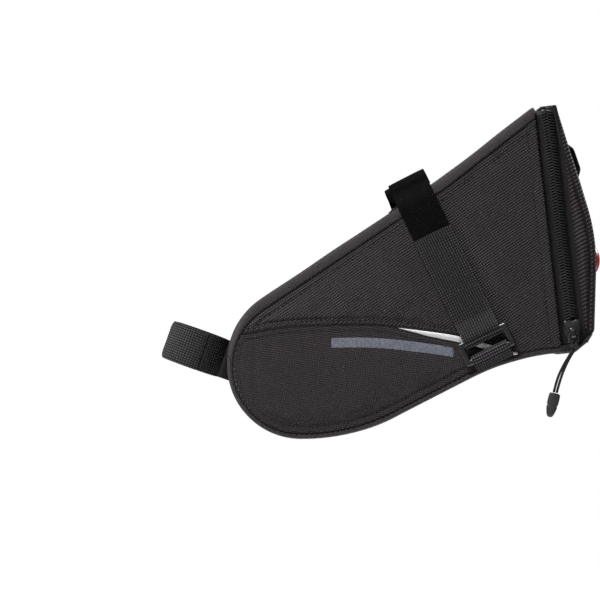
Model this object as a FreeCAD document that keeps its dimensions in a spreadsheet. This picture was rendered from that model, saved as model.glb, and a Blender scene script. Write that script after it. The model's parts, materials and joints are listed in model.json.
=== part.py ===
import FreeCAD, Part
import math
import os
from FreeCAD import Placement, Rotation, Vector

# Saddle bag for a bicycle. Millimetres and degrees.
# +X points to the bike's rear, +Y to its right and +Z up.
# The origin lies midway between the two saddle rails, at the middle of the straps' width.
# The rim frame has its origin on the lid's hinge line, its x (n) rearwards through the lid
# and its z (w) up along the zip.

SIZES = [
    # The bag's outline, seen from the side
    ("nose_reach", 93.4, "origin to the foremost point of the nose"),
    ("belly_drop", 130.0, "origin to the lowest point of the belly"),
    ("top_drop", 7.85, "rail line to the top panel below it"),
    ("top_slope", 33.7, "rise of the top panel"),
    ("shoulder_x", 15.0, "where the top panel turns up to the rim"),
    ("shoulder_round", 80.0, "radius of that turn"),
    ("rim_round", 6.0, "radius of the top panel's turn into the rim"),
    ("rim_land", 1.5, "level strip in front of the fabric's edge at the rim"),
    ("nose_top_round", 39.5, "radius of the upper nose"),
    ("nose_low_round", 37.5, "radius of the lower nose"),
    ("belly_round", 105.0, "radius of the belly"),
    ("belly_slope", 27.5, "rise of the belly behind its lowest point"),
    ("heel_x", 50.6, "where the belly turns level"),
    ("heel_round", 120.0, "radius of that turn"),
    ("rim_foot_x", 82.8, "lid's hinge line behind the origin"),
    ("rim_foot_drop", 84.6, "lid's hinge line below the origin"),
    ("rim_rise", 125.2, "height of the rim along the zip"),
    ("rim_lean", 6.5, "lean of the zip from upright"),
    ("rim_half_width", 43.0, "half the bag's width at the zip"),
    ("side_taper", 6.5, "angle at which each side narrows to the nose"),
    ("corner_round", 5.0, "radius of the long edges"),
    # Fabric and what backs it
    ("fabric", 1.6, "outer fabric with its coating and backing"),
    ("foam", 2.0, "foam behind the side panels and in the lid"),
    ("lining", 0.5, "inner lining"),
    ("board", 1.2, "stiff board along the belly"),
    ("board_play", 1.0, "side lining to the board"),
    ("board_lap", 10.0, "how far the board runs past its two bends"),
    ("seam_gap", 0.2, "clearance between sewn neighbours"),
    ("top_wrap", 5.3, "how far the top panel wraps down each side"),
    ("belly_wrap", 3.5, "how far the belly panel wraps up each side"),
    ("foam_margin", 11.0, "side outline to the edge of the foam"),
    ("foam_rear", 5.0, "fabric's edge at the rim to the foam"),
    ("panel_split_drop", 88.0, "height on the nose where top and belly panels meet"),
    # Zip
    ("tape_edge", 8.0, "middle of the zip to the fabric's edge"),
    ("tape_tuck", 1.0, "tape under the fabric"),
    ("tape_thick", 0.8, "tape thickness"),
    ("coil_width", 2.4, "one half of the coil, across the zip"),
    ("coil_gap", 1.2, "gap between the coil's halves"),
    ("coil_thick", 1.6, "coil height above the tape"),
    ("coil_foot", 3.6, "lower end of the coil above the hinge line"),
    ("tab_height", 2.6, "fabric tab over each end of the zip"),
    ("slider_foot", 4.6, "lower end of the slider above the hinge line"),
    ("slider_length", 11.4, "slider length"),
    ("slider_plate", 1.1, "slider plate thickness"),
    ("slider_wall", 1.2, "slider flange thickness"),
    ("run_gap", 0.2, "running clearance of the slider"),
    ("crown_foot", 2.0, "slider's lower end to its crown"),
    ("crown_length", 6.0, "crown length"),
    ("crown_width", 2.2, "crown width"),
    ("crown_rise", 3.2, "crown height"),
    ("crown_bar", 1.0, "thickness of the crown's top"),
    ("crown_post", 1.4, "thickness of the crown's ends"),
    # Pull
    ("cord_round", 1.3, "diameter of the pull's cord"),
    ("knot_width", 4.6, "knot width"),
    ("knot_depth", 3.2, "knot depth"),
    ("knot_height", 2.8, "knot height"),
    ("tip_length", 12.5, "moulded tip length"),
    ("tip_top", 5.8, "moulded tip width at the cord"),
    ("tip_end", 3.8, "moulded tip width at its lower end"),
    ("tip_shoulder", 6.4, "tip's top to where it starts to narrow"),
    ("tip_depth", 3.6, "moulded tip thickness"),
    # Lid
    ("lid_half_width", 42.0, "half the lid's width"),
    ("lid_foot", 7.4, "lower edge of the lid above the hinge line"),
    ("lid_top_front", 3.7, "middle of the zip to the lid's fabric at the top"),
    ("lid_top_back", 5.1, "middle of the zip to the lid's back at the top"),
    ("lid_neck_drop", 37.2, "rim's top to where the lid's front edge starts to close on the zip"),
    ("lid_apex_out", 20.2, "depth of the lid's back at its fullest"),
    ("lid_apex_up", 56.3, "height of the lid's fullest point"),
    ("lid_apex_round", 100.0, "radius of the lid's back"),
    ("lid_heel_out", 11.4, "depth of the lid at its lower edge"),
    ("flap_half_width", 36.0, "half the width of the hinge fabric"),
    ("lid_foam_half_width", 34.0, "half the width of the lid's foam"),
    # Light loop and badge
    ("loop_width", 16.0, "light loop width"),
    ("loop_top", 111.0, "upper end of the light loop along the lid"),
    ("loop_span", 28.0, "length of the light loop"),
    ("loop_gap", 2.6, "space behind the light loop"),
    ("badge_up", 45.0, "height of the badge on the lid"),
    ("badge_radius", 8.0, "badge radius"),
    ("badge_thick", 1.2, "thickness of the badge's base"),
    ("badge_rim", 1.3, "width of the badge's rim"),
    # Straps over the saddle rails
    ("strap_width", 20.0, "webbing width"),
    ("strap_thick", 1.2, "webbing thickness"),
    ("strap_gap", 0.3, "clearance between webbing and what it lies on"),
    ("rail_radius", 3.5, "saddle rail radius"),
    ("rail_offset", 27.0, "saddle rail to the bag's middle"),
    ("rail_slope", 26.0, "rise of the saddle rail"),
    ("strap_inner_leg", 3.2, "webbing below the rail on its inner side"),
    ("tail_end", 27.4, "rail to the loose end of the strap"),
    ("buckle_top", 84.0, "rail to the top of the buckle"),
    ("buckle_length", 12.6, "buckle length along the strap"),
    ("buckle_bar", 3.0, "width of the buckle's bars"),
    ("buckle_thick", 2.2, "buckle thickness"),
    ("buckle_round", 0.9, "rounding of the buckle's bars"),
    ("buckle_play", 0.8, "webbing to the buckle's side bar"),
    ("tab_end", 101.0, "rail to the end of the buckle's tab"),
    ("anchor_length", 13.0, "sewn patch of the strap, across the top panel"),
    # Strap round the seatpost
    ("post_radius", 12.7, "seatpost radius"),
    ("post_gap", 17.0, "nose to the seatpost's axis at the strap"),
    ("post_drop", 84.1, "middle of the post strap below the origin"),
    ("post_lean", 19.6, "lean of the seatpost from upright"),
    ("post_strap_width", 20.0, "post strap width"),
    ("post_strap_thick", 1.4, "post strap thickness"),
    ("post_tail_free", 5.0, "straight end of the post strap's tail"),
    ("tab_thick", 2.8, "anchor tab of the post strap"),
    ("tab_length", 14.0, "anchor tab's reach before it is cut to the nose"),
]

doc = FreeCAD.newDocument("SaddleBag")
sheet = doc.addObject("Spreadsheet::Sheet", "Sizes")
for row, (alias, value, note) in enumerate(SIZES, 1):
    sheet.set(f"A{row}", note)
    sheet.set(f"B{row}", str(value))
    sheet.setAlias(f"B{row}", alias)
doc.recompute()


def size(alias):
    """A driving dimension, read from the sheet."""
    return float(getattr(sheet, alias))


FAR = 300.0  # longer than the bag in any direction

# ---------------------------------------------------------------- frames

rim_frame = Placement(
    Vector(size("rim_foot_x"), 0, -size("rim_foot_drop")),
    Rotation(Vector(0, 1, 0), -size("rim_lean")))
rim_axis = rim_frame.Rotation.multVec(Vector(1, 0, 0))

post_frame = Placement(
    Vector(-size("nose_reach") - size("post_gap"), 0, -size("post_drop")),
    Rotation(Vector(0, 1, 0), size("post_lean")))

top_frame = Placement(
    Vector(0, 0, -size("top_drop")),
    Rotation(Vector(0, 1, 0), -size("top_slope")))


def half_width(point):
    """Half the bag's width at a point of the row frame."""
    depth = (point - rim_frame.Base).dot(rim_axis)
    return size("rim_half_width") + depth * math.tan(math.radians(size("side_taper")))


def left_strap_frame():
    """At the left rail: x along it and the side panel, y into the bag, z up the strap."""
    taper = math.radians(size("side_taper"))
    inward = rim_frame.Rotation.multVec(Vector(math.sin(taper), math.cos(taper), 0))
    rail = Rotation(Vector(0, 1, 0), -size("rail_slope")).multVec(Vector(1, 0, 0))
    along = rail - inward * rail.dot(inward)
    along.normalize()
    return Placement(
        Vector(0, -size("rail_offset"), 0),
        Rotation(along, inward, along.cross(inward), "XYZ"))


strap_frame = left_strap_frame()
taper_cos = math.cos(math.radians(size("side_taper")))
side_distance = (half_width(Vector(0, 0, 0)) - size("rail_offset")) * taper_cos


def top_line(x):
    """Height of the top panel at x, in front of the shoulder."""
    return -size("top_drop") + x * math.tan(math.radians(size("top_slope")))


def rim_point(depth, height):
    """A point of the rim frame's middle plane, as x and z of the row frame."""
    point = rim_frame.multVec(Vector(depth, 0, height))
    return point.x, point.z


# ---------------------------------------------------------------- outlines
# An outline is a list of corners (u, v, radius). A closed one runs counter-clockwise.


def offset_outline(corners, distances, closed=True):
    """The outline with each edge moved to its left; edge i starts at corner i."""
    count = len(corners)
    edge_count = count if closed else count - 1
    lines = []
    for i in range(edge_count):
        start = Vector(corners[i][0], corners[i][1], 0)
        end = Vector(corners[(i + 1) % count][0], corners[(i + 1) % count][1], 0)
        along = (end - start).normalize()
        left = Vector(-along.y, along.x, 0)
        lines.append((start + left * distances[i], along, left))
    moved = []
    for i in range(count):
        before = lines[i - 1] if closed or i else lines[0]
        after = lines[i] if i < edge_count else lines[-1]
        turn = before[1].cross(after[1]).z
        if abs(turn) < 1e-9:
            shift = distances[min(i, edge_count - 1)]
            point = Vector(corners[i][0], corners[i][1], 0) + after[2] * shift
        else:
            reach = (after[0] - before[0]).cross(after[1]).z / turn
            point = before[0] + before[1] * reach
        radius = corners[i][2]
        if radius:
            mean = (distances[i - 1] + distances[min(i, edge_count - 1)]) / 2
            radius = max(radius - mean * math.copysign(1, turn), 0.1)
        moved.append((point.x, point.y, radius))
    return moved


def rounded(corners, closed=True):
    """Straight runs joined by tangent arcs, with arcs no longer than their runs allow."""
    count = len(corners)
    last = count if closed else count - 1
    points = [Vector(u, v, 0) for u, v, _ in corners]
    turns = []
    for i in range(count):
        before = (points[i] - points[i - 1]).normalize()
        after = (points[(i + 1) % count] - points[i]).normalize()
        turns.append((before, after, before.getAngle(after) / 2))
    reach = [corner[2] * math.tan(turn[2]) for corner, turn in zip(corners, turns)]
    if not closed:
        reach[0] = 0.0
        reach[-1] = 0.0
    for i in range(last):
        j = (i + 1) % count
        room = (points[j] - points[i]).Length
        if reach[i] + reach[j] > room:
            share = 0.999 * room / (reach[i] + reach[j])
            reach[i] *= share
            reach[j] *= share
    edges = []
    for i in range(count):
        before, after, half = turns[i]
        if reach[i]:
            radius = reach[i] / math.tan(half)
            sagitta = radius / math.cos(half) - radius
            middle = points[i] + (after - before).normalize() * sagitta
            edges.append(Part.Arc(points[i] - before * reach[i], middle,
                                  points[i] + after * reach[i]))
        if i < last:
            j = (i + 1) % count
            start = points[i] + after * reach[i]
            end = points[j] - turns[j][0] * reach[j]
            if (end - start).Length > 1e-6:
                edges.append(Part.LineSegment(start, end))
    return edges


# ---------------------------------------------------------------- document helpers


def add_sketch(body, name, plane, offset=0.0):
    """An empty sketch on one of the body's own origin planes, moved along its normal."""
    base = [o for o in body.Origin.OriginFeatures if o.Role == plane][0]
    sketch = body.newObject("Sketcher::SketchObject", name)
    sketch.AttachmentSupport = [(base, "")]
    sketch.MapMode = "FlatFace"
    if offset:
        sketch.AttachmentOffset = Placement(Vector(0, 0, offset), Rotation())
    return sketch


def new_body(name, frame=None):
    body = doc.addObject("PartDesign::Body", name)
    if frame:
        body.Placement = frame
    return body


def finish_pad(body, sketch, length, symmetric):
    pad = body.newObject("PartDesign::Pad", sketch.Name + "_pad")
    pad.Profile = sketch
    pad.SideType = "Symmetric" if symmetric else "One side"
    if isinstance(length, str):
        pad.setExpression("Length", length)
    else:
        pad.Length = length
    return pad


def pad_body(name, plane, edges, length, frame=None, symmetric=True, offset=0.0):
    """A body padded from one closed outline. A length in words is a sheet expression."""
    body = new_body(name, frame)
    sketch = add_sketch(body, name + "_sketch", plane, offset)
    for edge in edges:
        sketch.addGeometry(edge)
    finish_pad(body, sketch, length, symmetric)
    return body


def strip_body(name, plane, path, thickness, length, frame=None, offset=0.0, symmetric=True):
    """A band of webbing or tape: a thin strip along a path, padded to its width."""
    count = len(path) - 1
    left = offset_outline(path, [thickness / 2] * count, closed=False)
    right = offset_outline(path, [-thickness / 2] * count, closed=False)
    edges = rounded(left, closed=False) + rounded(right, closed=False)
    for end in (0, -1):
        edges.append(Part.LineSegment(Vector(*left[end][:2], 0), Vector(*right[end][:2], 0)))
    return pad_body(name, plane, edges, length, frame, symmetric, offset)


def boolean(kind, name, base, tool):
    """Part::Cut or Part::Common of two objects."""
    result = doc.addObject("Part::" + kind, name)
    result.Base = base
    result.Tool = tool
    return result


def box_body(name, corner, extent, frame=None):
    """A box of the given corner and size in its frame, drawn on XY and padded up."""
    u, v, low = corner
    du, dv, height = extent
    corners = [(u, v, 0), (u + du, v, 0), (u + du, v + dv, 0), (u, v + dv, 0)]
    return pad_body(name, "XY_Plane", rounded(corners), height, frame, False, low)


NODES = {}


def node(name, item):
    """Name an object as one of the bag's pieces."""
    item.Label = name
    NODES[name] = item
    return item


def pair(name, item):
    """A left-hand piece and its mirror image on the right."""
    node("left_" + name, item)
    twin = doc.addObject("Part::Mirroring", "right_" + name)
    twin.Source = item
    twin.Base = Vector(0, 0, 0)
    twin.Normal = Vector(0, 1, 0)
    node("right_" + name, twin)


# ---------------------------------------------------------------- the bag's volumes


def bag_corners(rear_depth):
    """Side outline from the rim's top forwards round the nose to the rim's foot."""
    land = -size("tape_edge") - size("rim_land")
    heel_x = size("heel_x")
    slope = math.tan(math.radians(size("rim_lean")))
    heel_z = -size("rim_foot_drop") + (heel_x - size("rim_foot_x")) * slope
    belly_rise = heel_z + size("belly_drop")
    belly_x = heel_x - belly_rise / math.tan(math.radians(size("belly_slope")))
    nose_x = -size("nose_reach")
    shoulder_x = size("shoulder_x")
    return [
        (*rim_point(rear_depth, size("rim_rise")), 0),
        (*rim_point(land, size("rim_rise")), size("rim_round")),
        (shoulder_x, top_line(shoulder_x), size("shoulder_round")),
        (nose_x, top_line(nose_x), size("nose_top_round")),
        (nose_x, -size("belly_drop"), size("nose_low_round")),
        (belly_x, -size("belly_drop"), size("belly_round")),
        (heel_x, heel_z, size("heel_round")),
        (*rim_point(rear_depth, 0), 0)]


def bag_outline(inset, rear_depth):
    """The side outline with every edge but the rear end moved inwards."""
    corners = bag_corners(rear_depth)
    return offset_outline(corners, [inset] * (len(corners) - 1) + [0])


def panel_corners():
    """The side outline without the level strip at the rim, for what lies well inside it."""
    corners = bag_corners(rim_edge)
    del corners[1]
    return corners


def bag_plan(name, inset):
    """The bag's tapered plan, moved inwards by inset, as a cutter of any height."""
    taper = math.tan(math.radians(size("side_taper")))
    rear = FAR / 10
    near = size("rim_half_width") + rear * taper - inset / taper_cos
    far = max(size("rim_half_width") - FAR * taper - inset / taper_cos, 1.0)
    plan = [(rear, -near, 0), (rear, near, 0), (-FAR, far, 0), (-FAR, -far, 0)]
    return pad_body(name, "XY_Plane", rounded(plan), 2 * FAR, rim_frame)


def bag_volume(name, inset, rear_depth, round_edges):
    """The bag's solid shape, moved inwards by inset: an outline cut to its tapered plan."""
    prism = pad_body(name + "_prism", "XZ_Plane", rounded(bag_outline(inset, rear_depth)),
                     2 * FAR)
    volume = boolean("Common", name + "_block", prism, bag_plan(name + "_plan", inset))
    if not round_edges:
        return volume
    doc.recompute()
    radius = size("corner_round") - inset
    chosen = []
    for index, edge in enumerate(volume.Shape.Edges, 1):
        points = edge.discretize(5)
        on_side = all(abs(abs(p.y) - half_width(p) + inset / taper_cos) < 1e-3 for p in points)
        middle = rim_frame.inverse().multVec(points[2])
        if on_side and middle.x < rear_depth - 0.01:
            chosen.append((index, radius, radius))
    fillet = doc.addObject("Part::Fillet", name + "_rounded")
    fillet.Base = volume
    fillet.Edges = chosen
    return fillet


fabric = size("fabric")
gap = size("seam_gap")
rim_edge = -size("tape_edge")
past_rim = 5.0  # inner volumes run on past the rim, which leaves the bag open there

outer = bag_volume("outer", 0.0, rim_edge, True)
inner = bag_volume("inner", fabric, past_rim, True)
shell = boolean("Cut", "shell", outer, inner)

# ---------------------------------------------------------------- side, top and belly panels


def side_outline(extra, rear):
    """Where the side panels are sewn to the top and belly panels, run on past the rim by rear."""
    top = size("top_wrap") + extra
    belly = size("belly_wrap") + extra
    return offset_outline(panel_corners(), [top] * 2 + [belly] * 4 + [-rear])


def left_mask(name, outline, frame=None):
    """A cutter of the given side outline over the bag's left half."""
    body = pad_body(name, "XZ_Plane", rounded(outline), FAR, frame, False)
    doc.recompute()
    if body.Shape.BoundBox.YMax > 1:
        body.Tip.Reversed = True
    return body


SEAM = [(-110, -80.5, 0), (-62, -72.3, 160), (-18, -71.0, 200), (26, -76.4, 160), (78, -92.6, 0)]
WEDGE_LOW = [(-14, -71.2, 0), (8, -77.2, 60), (30, -81.6, 120), (64, -92.6, 0)]


def below_seam(shift):
    """Everything under the seam that joins the upper and lower side panels."""
    seam = offset_outline(SEAM, [shift] * 4, closed=False)
    low = -size("belly_drop") - 20
    return [(seam[0][0], low, 0)] + [(seam[-1][0], low, 0)] + list(reversed(seam))


def above_wedge(shift):
    """Everything over the lower edge of the reflective wedge."""
    low = offset_outline(WEDGE_LOW, [shift] * 3, closed=False)
    return low + [(low[-1][0], SEAM[0][1] + 40, 0), (low[0][0], SEAM[0][1] + 40, 0)]


side_cut = left_mask("side_mask", side_outline(gap / 2, 1.0))
side_plate = boolean("Common", "left_side_plate", shell, side_cut)
lower_cut = left_mask("lower_mask", below_seam(-gap / 2))
upper_cut = left_mask("upper_mask", below_seam(gap / 2))
upper_panel = boolean("Cut", "left_upper", side_plate, upper_cut)
lower_all = boolean("Common", "left_lower_all", side_plate, lower_cut)
wedge_cut = left_mask("wedge_mask", above_wedge(0.0))
wedge_room = left_mask("wedge_room", above_wedge(-gap))
lower_panel = boolean("Cut", "left_lower", lower_all, wedge_room)
wedge_panel = boolean("Common", "left_wedge", lower_all, wedge_cut)
pair("upper_side_panel", upper_panel)
pair("lower_side_panel", lower_panel)
pair("reflective_wedge", wedge_panel)

wrap_cut = pad_body("wrap_cut", "XZ_Plane", rounded(side_outline(-gap / 2, 10.0)), 2 * FAR)
wrap = boolean("Cut", "wrap", shell, wrap_cut)


def above_split(shift):
    """The region of the top panel, down to where it meets the belly panel at the nose."""
    split = -size("panel_split_drop") + shift
    reach = size("nose_reach")
    return [(-reach - 20, split, 0), (-reach / 2, split, 0), (FAR / 3, split / 3, 0),
            (FAR / 3, FAR / 3, 0), (-reach - 20, FAR / 3, 0)]


top_region = pad_body("top_region", "XZ_Plane", rounded(above_split(gap / 2)), 2 * FAR)
belly_region = pad_body("belly_region", "XZ_Plane", rounded(above_split(-gap / 2)), 2 * FAR)
node("top_panel", boolean("Common", "top", wrap, top_region))
node("belly_panel", boolean("Cut", "belly", wrap, belly_region))

# ---------------------------------------------------------------- inside the bag


def lined_layer(name, start, thickness):
    """A layer of the given thickness that starts that far inside the outer surface."""
    front = bag_volume(name + "_front", start, past_rim, False)
    back = bag_volume(name + "_back", start + thickness, past_rim, False)
    return boolean("Cut", name, front, back)


foam_start = fabric + gap
lining_start = foam_start + size("foam") + gap
foam_outline = offset_outline(
    panel_corners(), [size("foam_margin")] * 6 + [size("foam_rear")])
foam_cut = left_mask("foam_mask", foam_outline)
lining_cut = left_mask("lining_mask", foam_outline)
pair("side_foam", boolean("Common", "left_foam",
                          lined_layer("foam_layer", foam_start, size("foam")), foam_cut))
pair("side_lining", boolean("Common", "left_lining",
                            lined_layer("lining_layer", lining_start, size("lining")),
                            lining_cut))

board_layer = lined_layer("board_layer", foam_start, size("board"))
belly_bend, heel_bend = bag_corners(rim_edge)[5:7]
board_lap = size("board_lap")
board_front = belly_bend[0] - 2.5 * board_lap
board_foot = -size("belly_drop") - board_lap
board_region = pad_body("board_region", "XZ_Plane", rounded([
    (board_front, board_foot, 0), (heel_bend[0] + board_lap, board_foot, 0),
    (heel_bend[0] + board_lap, heel_bend[1] + board_lap, 0),
    (heel_bend[0], heel_bend[1] + board_lap, 0),
    (belly_bend[0], belly_bend[1] + board_lap, 0),
    (board_front, belly_bend[1] + board_lap, 0)]), 2 * FAR)
board_plan = bag_plan("board_plan", lining_start + size("lining") + size("board_play"))
board_strip = boolean("Common", "board_strip", board_layer, board_region)
node("base_board", boolean("Common", "board", board_strip, board_plan))

# ---------------------------------------------------------------- zip

tape_out = size("lid_half_width") - fabric - 0.3
lid_neck = size("rim_rise") - size("lid_neck_drop")
tape_top = size("rim_rise") - fabric - 0.3
coil_foot = size("coil_foot")


def rim_path(level, foot):
    """An arch round the rim, level mm outside the tape's outer face, open at the bottom."""
    half = tape_out + level
    top = tape_top + level
    turn = max(size("corner_round") - fabric - 0.3 + level, 0.6)
    return [(-half, foot, 0), (-half, top, turn), (half, top, turn), (half, foot, 0)]


def arch(name, level, thickness, start_depth, width, foot):
    """Tape or coil: a band round the rim, padded rearwards from start_depth."""
    return strip_body(name, "YZ_Plane", rim_path(level, foot), thickness, width,
                      rim_frame, start_depth, False)


tape_thick = size("tape_thick")
coil_thick = size("coil_thick")
tape_reach = size("tape_edge") + size("tape_tuck")
coil_near = size("coil_gap") / 2
tape_near = coil_near + 0.4
tape_width = tape_reach - tape_near
coil_level = gap + coil_thick / 2
node("body_zip_tape", arch("body_tape", -tape_thick / 2, tape_thick, -tape_reach, tape_width,
                           coil_foot))
node("body_zip_coil", arch("body_coil", coil_level, coil_thick,
                           -coil_near - size("coil_width"), size("coil_width"), coil_foot))
coil_start = size("slider_foot") + size("slider_length") + 1.0
node("lid_zip_coil", arch("lid_coil", coil_level, coil_thick, coil_near,
                          size("coil_width"), coil_start))
lid_tape = arch("lid_tape_band", -tape_thick / 2, tape_thick, tape_near, tape_width, coil_foot)
tuck_foot = size("lid_foot") + fabric + gap
lid_tape_limit = pad_body("lid_tape_limit", "XZ_Plane", rounded([
    (0, 0, 0), (size("tape_edge") - gap, 0, 0), (size("tape_edge") - gap, tuck_foot, 0),
    (tape_reach, tuck_foot, 0), (tape_reach, lid_neck, 0),
    (size("lid_top_front") - gap / 2, size("rim_rise") - fabric, 0),
    (size("lid_top_front") - gap / 2, size("rim_rise"), 0),
    (0, size("rim_rise"), 0)]), 2 * FAR, rim_frame)
node("lid_zip_tape", boolean("Common", "lid_tape", lid_tape, lid_tape_limit))

tab_low = coil_foot - gap - size("tab_height")
tab_half = tape_out + gap + coil_thick
pair("zip_end_tab", box_body(
    "left_end_tab", (-tape_reach + 1, -tab_half, tab_low),
    (tape_reach - 1 - coil_near, tab_half - tape_out + tape_thick, size("tab_height")),
    rim_frame))

# Slider on the left run, with its crown for the pull
run_gap = size("run_gap")
coil_face = tape_out + gap + coil_thick
plate = size("slider_plate")
wall = size("slider_wall")
channel = coil_near + size("coil_width") + run_gap
slider_half = channel + wall
slider_foot = size("slider_foot")
slider_length = size("slider_length")
plate_face = coil_face + run_gap + plate
bridge_half = coil_near - 0.12
bridge_length = 2.2


def slider_body():
    """Two plates joined by a bridge between the coil's halves, with flanges and a crown."""
    body = new_body("zip_slider_body", rim_frame)

    def block(name, u, v, du, dv, low, height):
        sketch = add_sketch(body, name, "XY_Plane", low)
        corners = [(u, v, 0), (u + du, v, 0), (u + du, v + dv, 0), (u, v + dv, 0)]
        for edge in rounded(corners):
            sketch.addGeometry(edge)
        finish_pad(body, sketch, height, False)

    width = 2 * slider_half
    tape_back = tape_out - tape_thick - run_gap
    block("top_plate", -slider_half, -plate_face, width, plate, slider_foot, slider_length)
    flange = coil_thick + run_gap - 0.2
    for side in (-slider_half, channel):
        block(f"flange_{side < 0}", side, -coil_face - run_gap, wall, flange,
              slider_foot, slider_length)
    block("bridge", -bridge_half, -coil_face - run_gap, 2 * bridge_half,
          coil_face + run_gap - tape_back, slider_foot, bridge_length)
    block("back_plate", -slider_half, -tape_back, width, plate, slider_foot, slider_length)
    crown_low = slider_foot + size("crown_foot")
    half = size("crown_width") / 2
    block("crown", -half, -plate_face - size("crown_rise"), 2 * half, size("crown_rise"),
          crown_low, size("crown_length"))
    doc.recompute()
    solid = body.Shape.Volume
    window = add_sketch(body, "crown_window", "YZ_Plane", 0)
    high = plate_face + size("crown_rise") - size("crown_bar")
    low_w = crown_low + size("crown_post")
    high_w = crown_low + size("crown_length") - size("crown_post")
    for edge in rounded([(-high, low_w, 0), (-plate_face, low_w, 0),
                         (-plate_face, high_w, 0), (-high, high_w, 0)]):
        window.addGeometry(edge)
    pocket = body.newObject("PartDesign::Pocket", "crown_hole")
    pocket.Profile = window
    pocket.SideType = "Symmetric"
    pocket.Length = 4 * half
    doc.recompute()
    if body.Shape.Volume > solid - 1:
        raise RuntimeError("the crown's hole must cut the crown")
    return body


node("zip_slider", slider_body())

# ---------------------------------------------------------------- pull: cord, knot and tip

cord_radius = size("cord_round") / 2
pull_y = -plate_face - (size("crown_rise") - size("crown_bar")) / 2
pull_up = (slider_foot + size("crown_foot") + size("crown_post")
           + (size("crown_rise") - size("crown_bar")) / 2)
PULL_PIVOT = rim_frame.multVec(Vector(0, pull_y, pull_up))
print("pull pivot", [round(v, 3) for v in PULL_PIVOT])
hang_turn = size("crown_width") / 2 + cord_radius + 0.15

# The cord's route in the rim frame, n and w from the pivot: up from the tip through the
# knot, over the crown's lower end and back down.
KNOT_TOP = -5.1
ROUTE = [(-11.6, -28.9), (-9.2, -22.6), (-5.4, -15.4), (-1.3, -9.6), (0.72, -7.7),
         (0.78, -5.4), (hang_turn, -3.3), (hang_turn, 0.0), (-hang_turn, 0.0),
         (-hang_turn, -3.3), (-0.78, -5.4), (-0.85, -8.0), (-3.2, -10.9), (-7.2, -16.2),
         (-10.9, -22.4), (-13.0, -28.4)]


def cord_edges(points):
    """Runs joined by arcs, each as large as its two runs allow."""
    start = points[0]
    edges = []
    radii = []
    for i in range(1, len(points) - 1):
        before = points[i] - points[i - 1]
        after = points[i + 1] - points[i]
        turn = before.getAngle(after)
        reach = 0.45 * min(before.Length, after.Length)
        radii.append(round(reach / math.tan(turn / 2), 2))
        into = points[i] - before.normalize() * reach
        out = points[i] + after.normalize() * reach
        centre_way = (after - before).normalize()
        bulge = reach / math.tan(turn / 2) * (1 / math.cos(turn / 2) - 1)
        edges.append(Part.LineSegment(start, into).toShape())
        edges.append(Part.Arc(into, points[i] + centre_way * bulge, out).toShape())
        start = out
    edges.append(Part.LineSegment(start, points[-1]).toShape())
    print("cord radii", radii)
    return edges


route = [rim_frame.multVec(Vector(n, pull_y, pull_up + w)) for n, w in ROUTE]
cord_wire = Part.Wire(cord_edges(route))
cord_start = Part.Wire([Part.Circle(route[0], route[1] - route[0], cord_radius).toShape()])
cord_solid = cord_wire.makePipeShell([cord_start], True, False)
cord_volume = math.pi * cord_radius ** 2 * cord_wire.Length
print("cord length", round(cord_wire.Length, 2), "volume", round(cord_solid.Volume, 2),
      "section times length", round(cord_volume, 2))
pull_cord = doc.addObject("Part::Feature", "pull_cord_tube")
pull_cord.Shape = cord_solid
node("pull_cord", pull_cord)


def stadium(width, depth):
    """A slot outline, width along u and depth along v."""
    u = width / 2
    v = depth / 2
    return rounded([(-u, -v, v * 0.98), (u, -v, v * 0.98), (u, v, v * 0.98), (-u, v, v * 0.98)])


knot_frame = Placement(rim_frame.multVec(Vector(0, pull_y, pull_up + KNOT_TOP)),
                       rim_frame.Rotation)
knot_outer = pad_body("knot_outer", "XY_Plane", stadium(size("knot_width"), size("knot_depth")),
                      "Sizes.knot_height", knot_frame, False)
knot_outer.Tip.Reversed = True
knot_room = size("cord_round") + 0.3
knot_hole = pad_body("knot_hole", "XY_Plane", stadium(2 * knot_room + 0.3, knot_room),
                     "Sizes.knot_height * 3", knot_frame)
node("cord_knot", boolean("Cut", "knot", knot_outer, knot_hole))

# The tip hangs from the cord's two ends, in line with them.
tip_seat = (route[0] + route[-1]) / 2
tip_way = (route[0] - route[1]).normalize() + (route[-1] - route[-2]).normalize()
tip_way.y = 0
tip_way.normalize()
tip_frame = Placement(tip_seat + tip_way * 0.25,
                      Rotation(Vector(0, 1, 0).cross(tip_way), Vector(0, 1, 0), tip_way, "XYZ"))
tip_length = size("tip_length")
tip_half = size("tip_top") / 2
tip_end = size("tip_end") / 2
shoulder = size("tip_shoulder")
tip = pad_body("pull_tip_body", "XZ_Plane", rounded([
    (-tip_half, 0, 0.8), (tip_half, 0, 0.8), (tip_half, shoulder, 4), (tip_end, tip_length, 1.5),
    (-tip_end, tip_length, 1.5), (-tip_half, shoulder, 4)]), "Sizes.tip_depth", tip_frame)
node("pull_tip", tip)

# ---------------------------------------------------------------- lid


def lid_corners():
    """The lid's side outline in the rim frame, from its top front down and round."""
    return [
        (size("lid_top_front"), size("rim_rise"), 0),
        (size("tape_edge"), lid_neck, 60),
        (size("tape_edge"), size("lid_foot"), 0),
        (size("lid_heel_out"), size("lid_foot"), 0),
        (size("lid_apex_out"), size("lid_apex_up"), size("lid_apex_round")),
        (size("lid_top_back"), size("rim_rise"), 0)]


def lid_outline(front, floor, back):
    """The lid's outline with its front, floor and back edges moved inwards."""
    return offset_outline(lid_corners(), [front, front, floor, back, back, back])


def lid_volume(name, inset):
    """The lid's solid shape moved inwards by inset; the inner one runs out at the front."""
    front = -past_rim if inset else 0.0
    width = 2 * (size("lid_half_width") - inset)
    outline = lid_outline(front, inset, inset)
    return pad_body(name, "XZ_Plane", rounded(outline), width, rim_frame)


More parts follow.
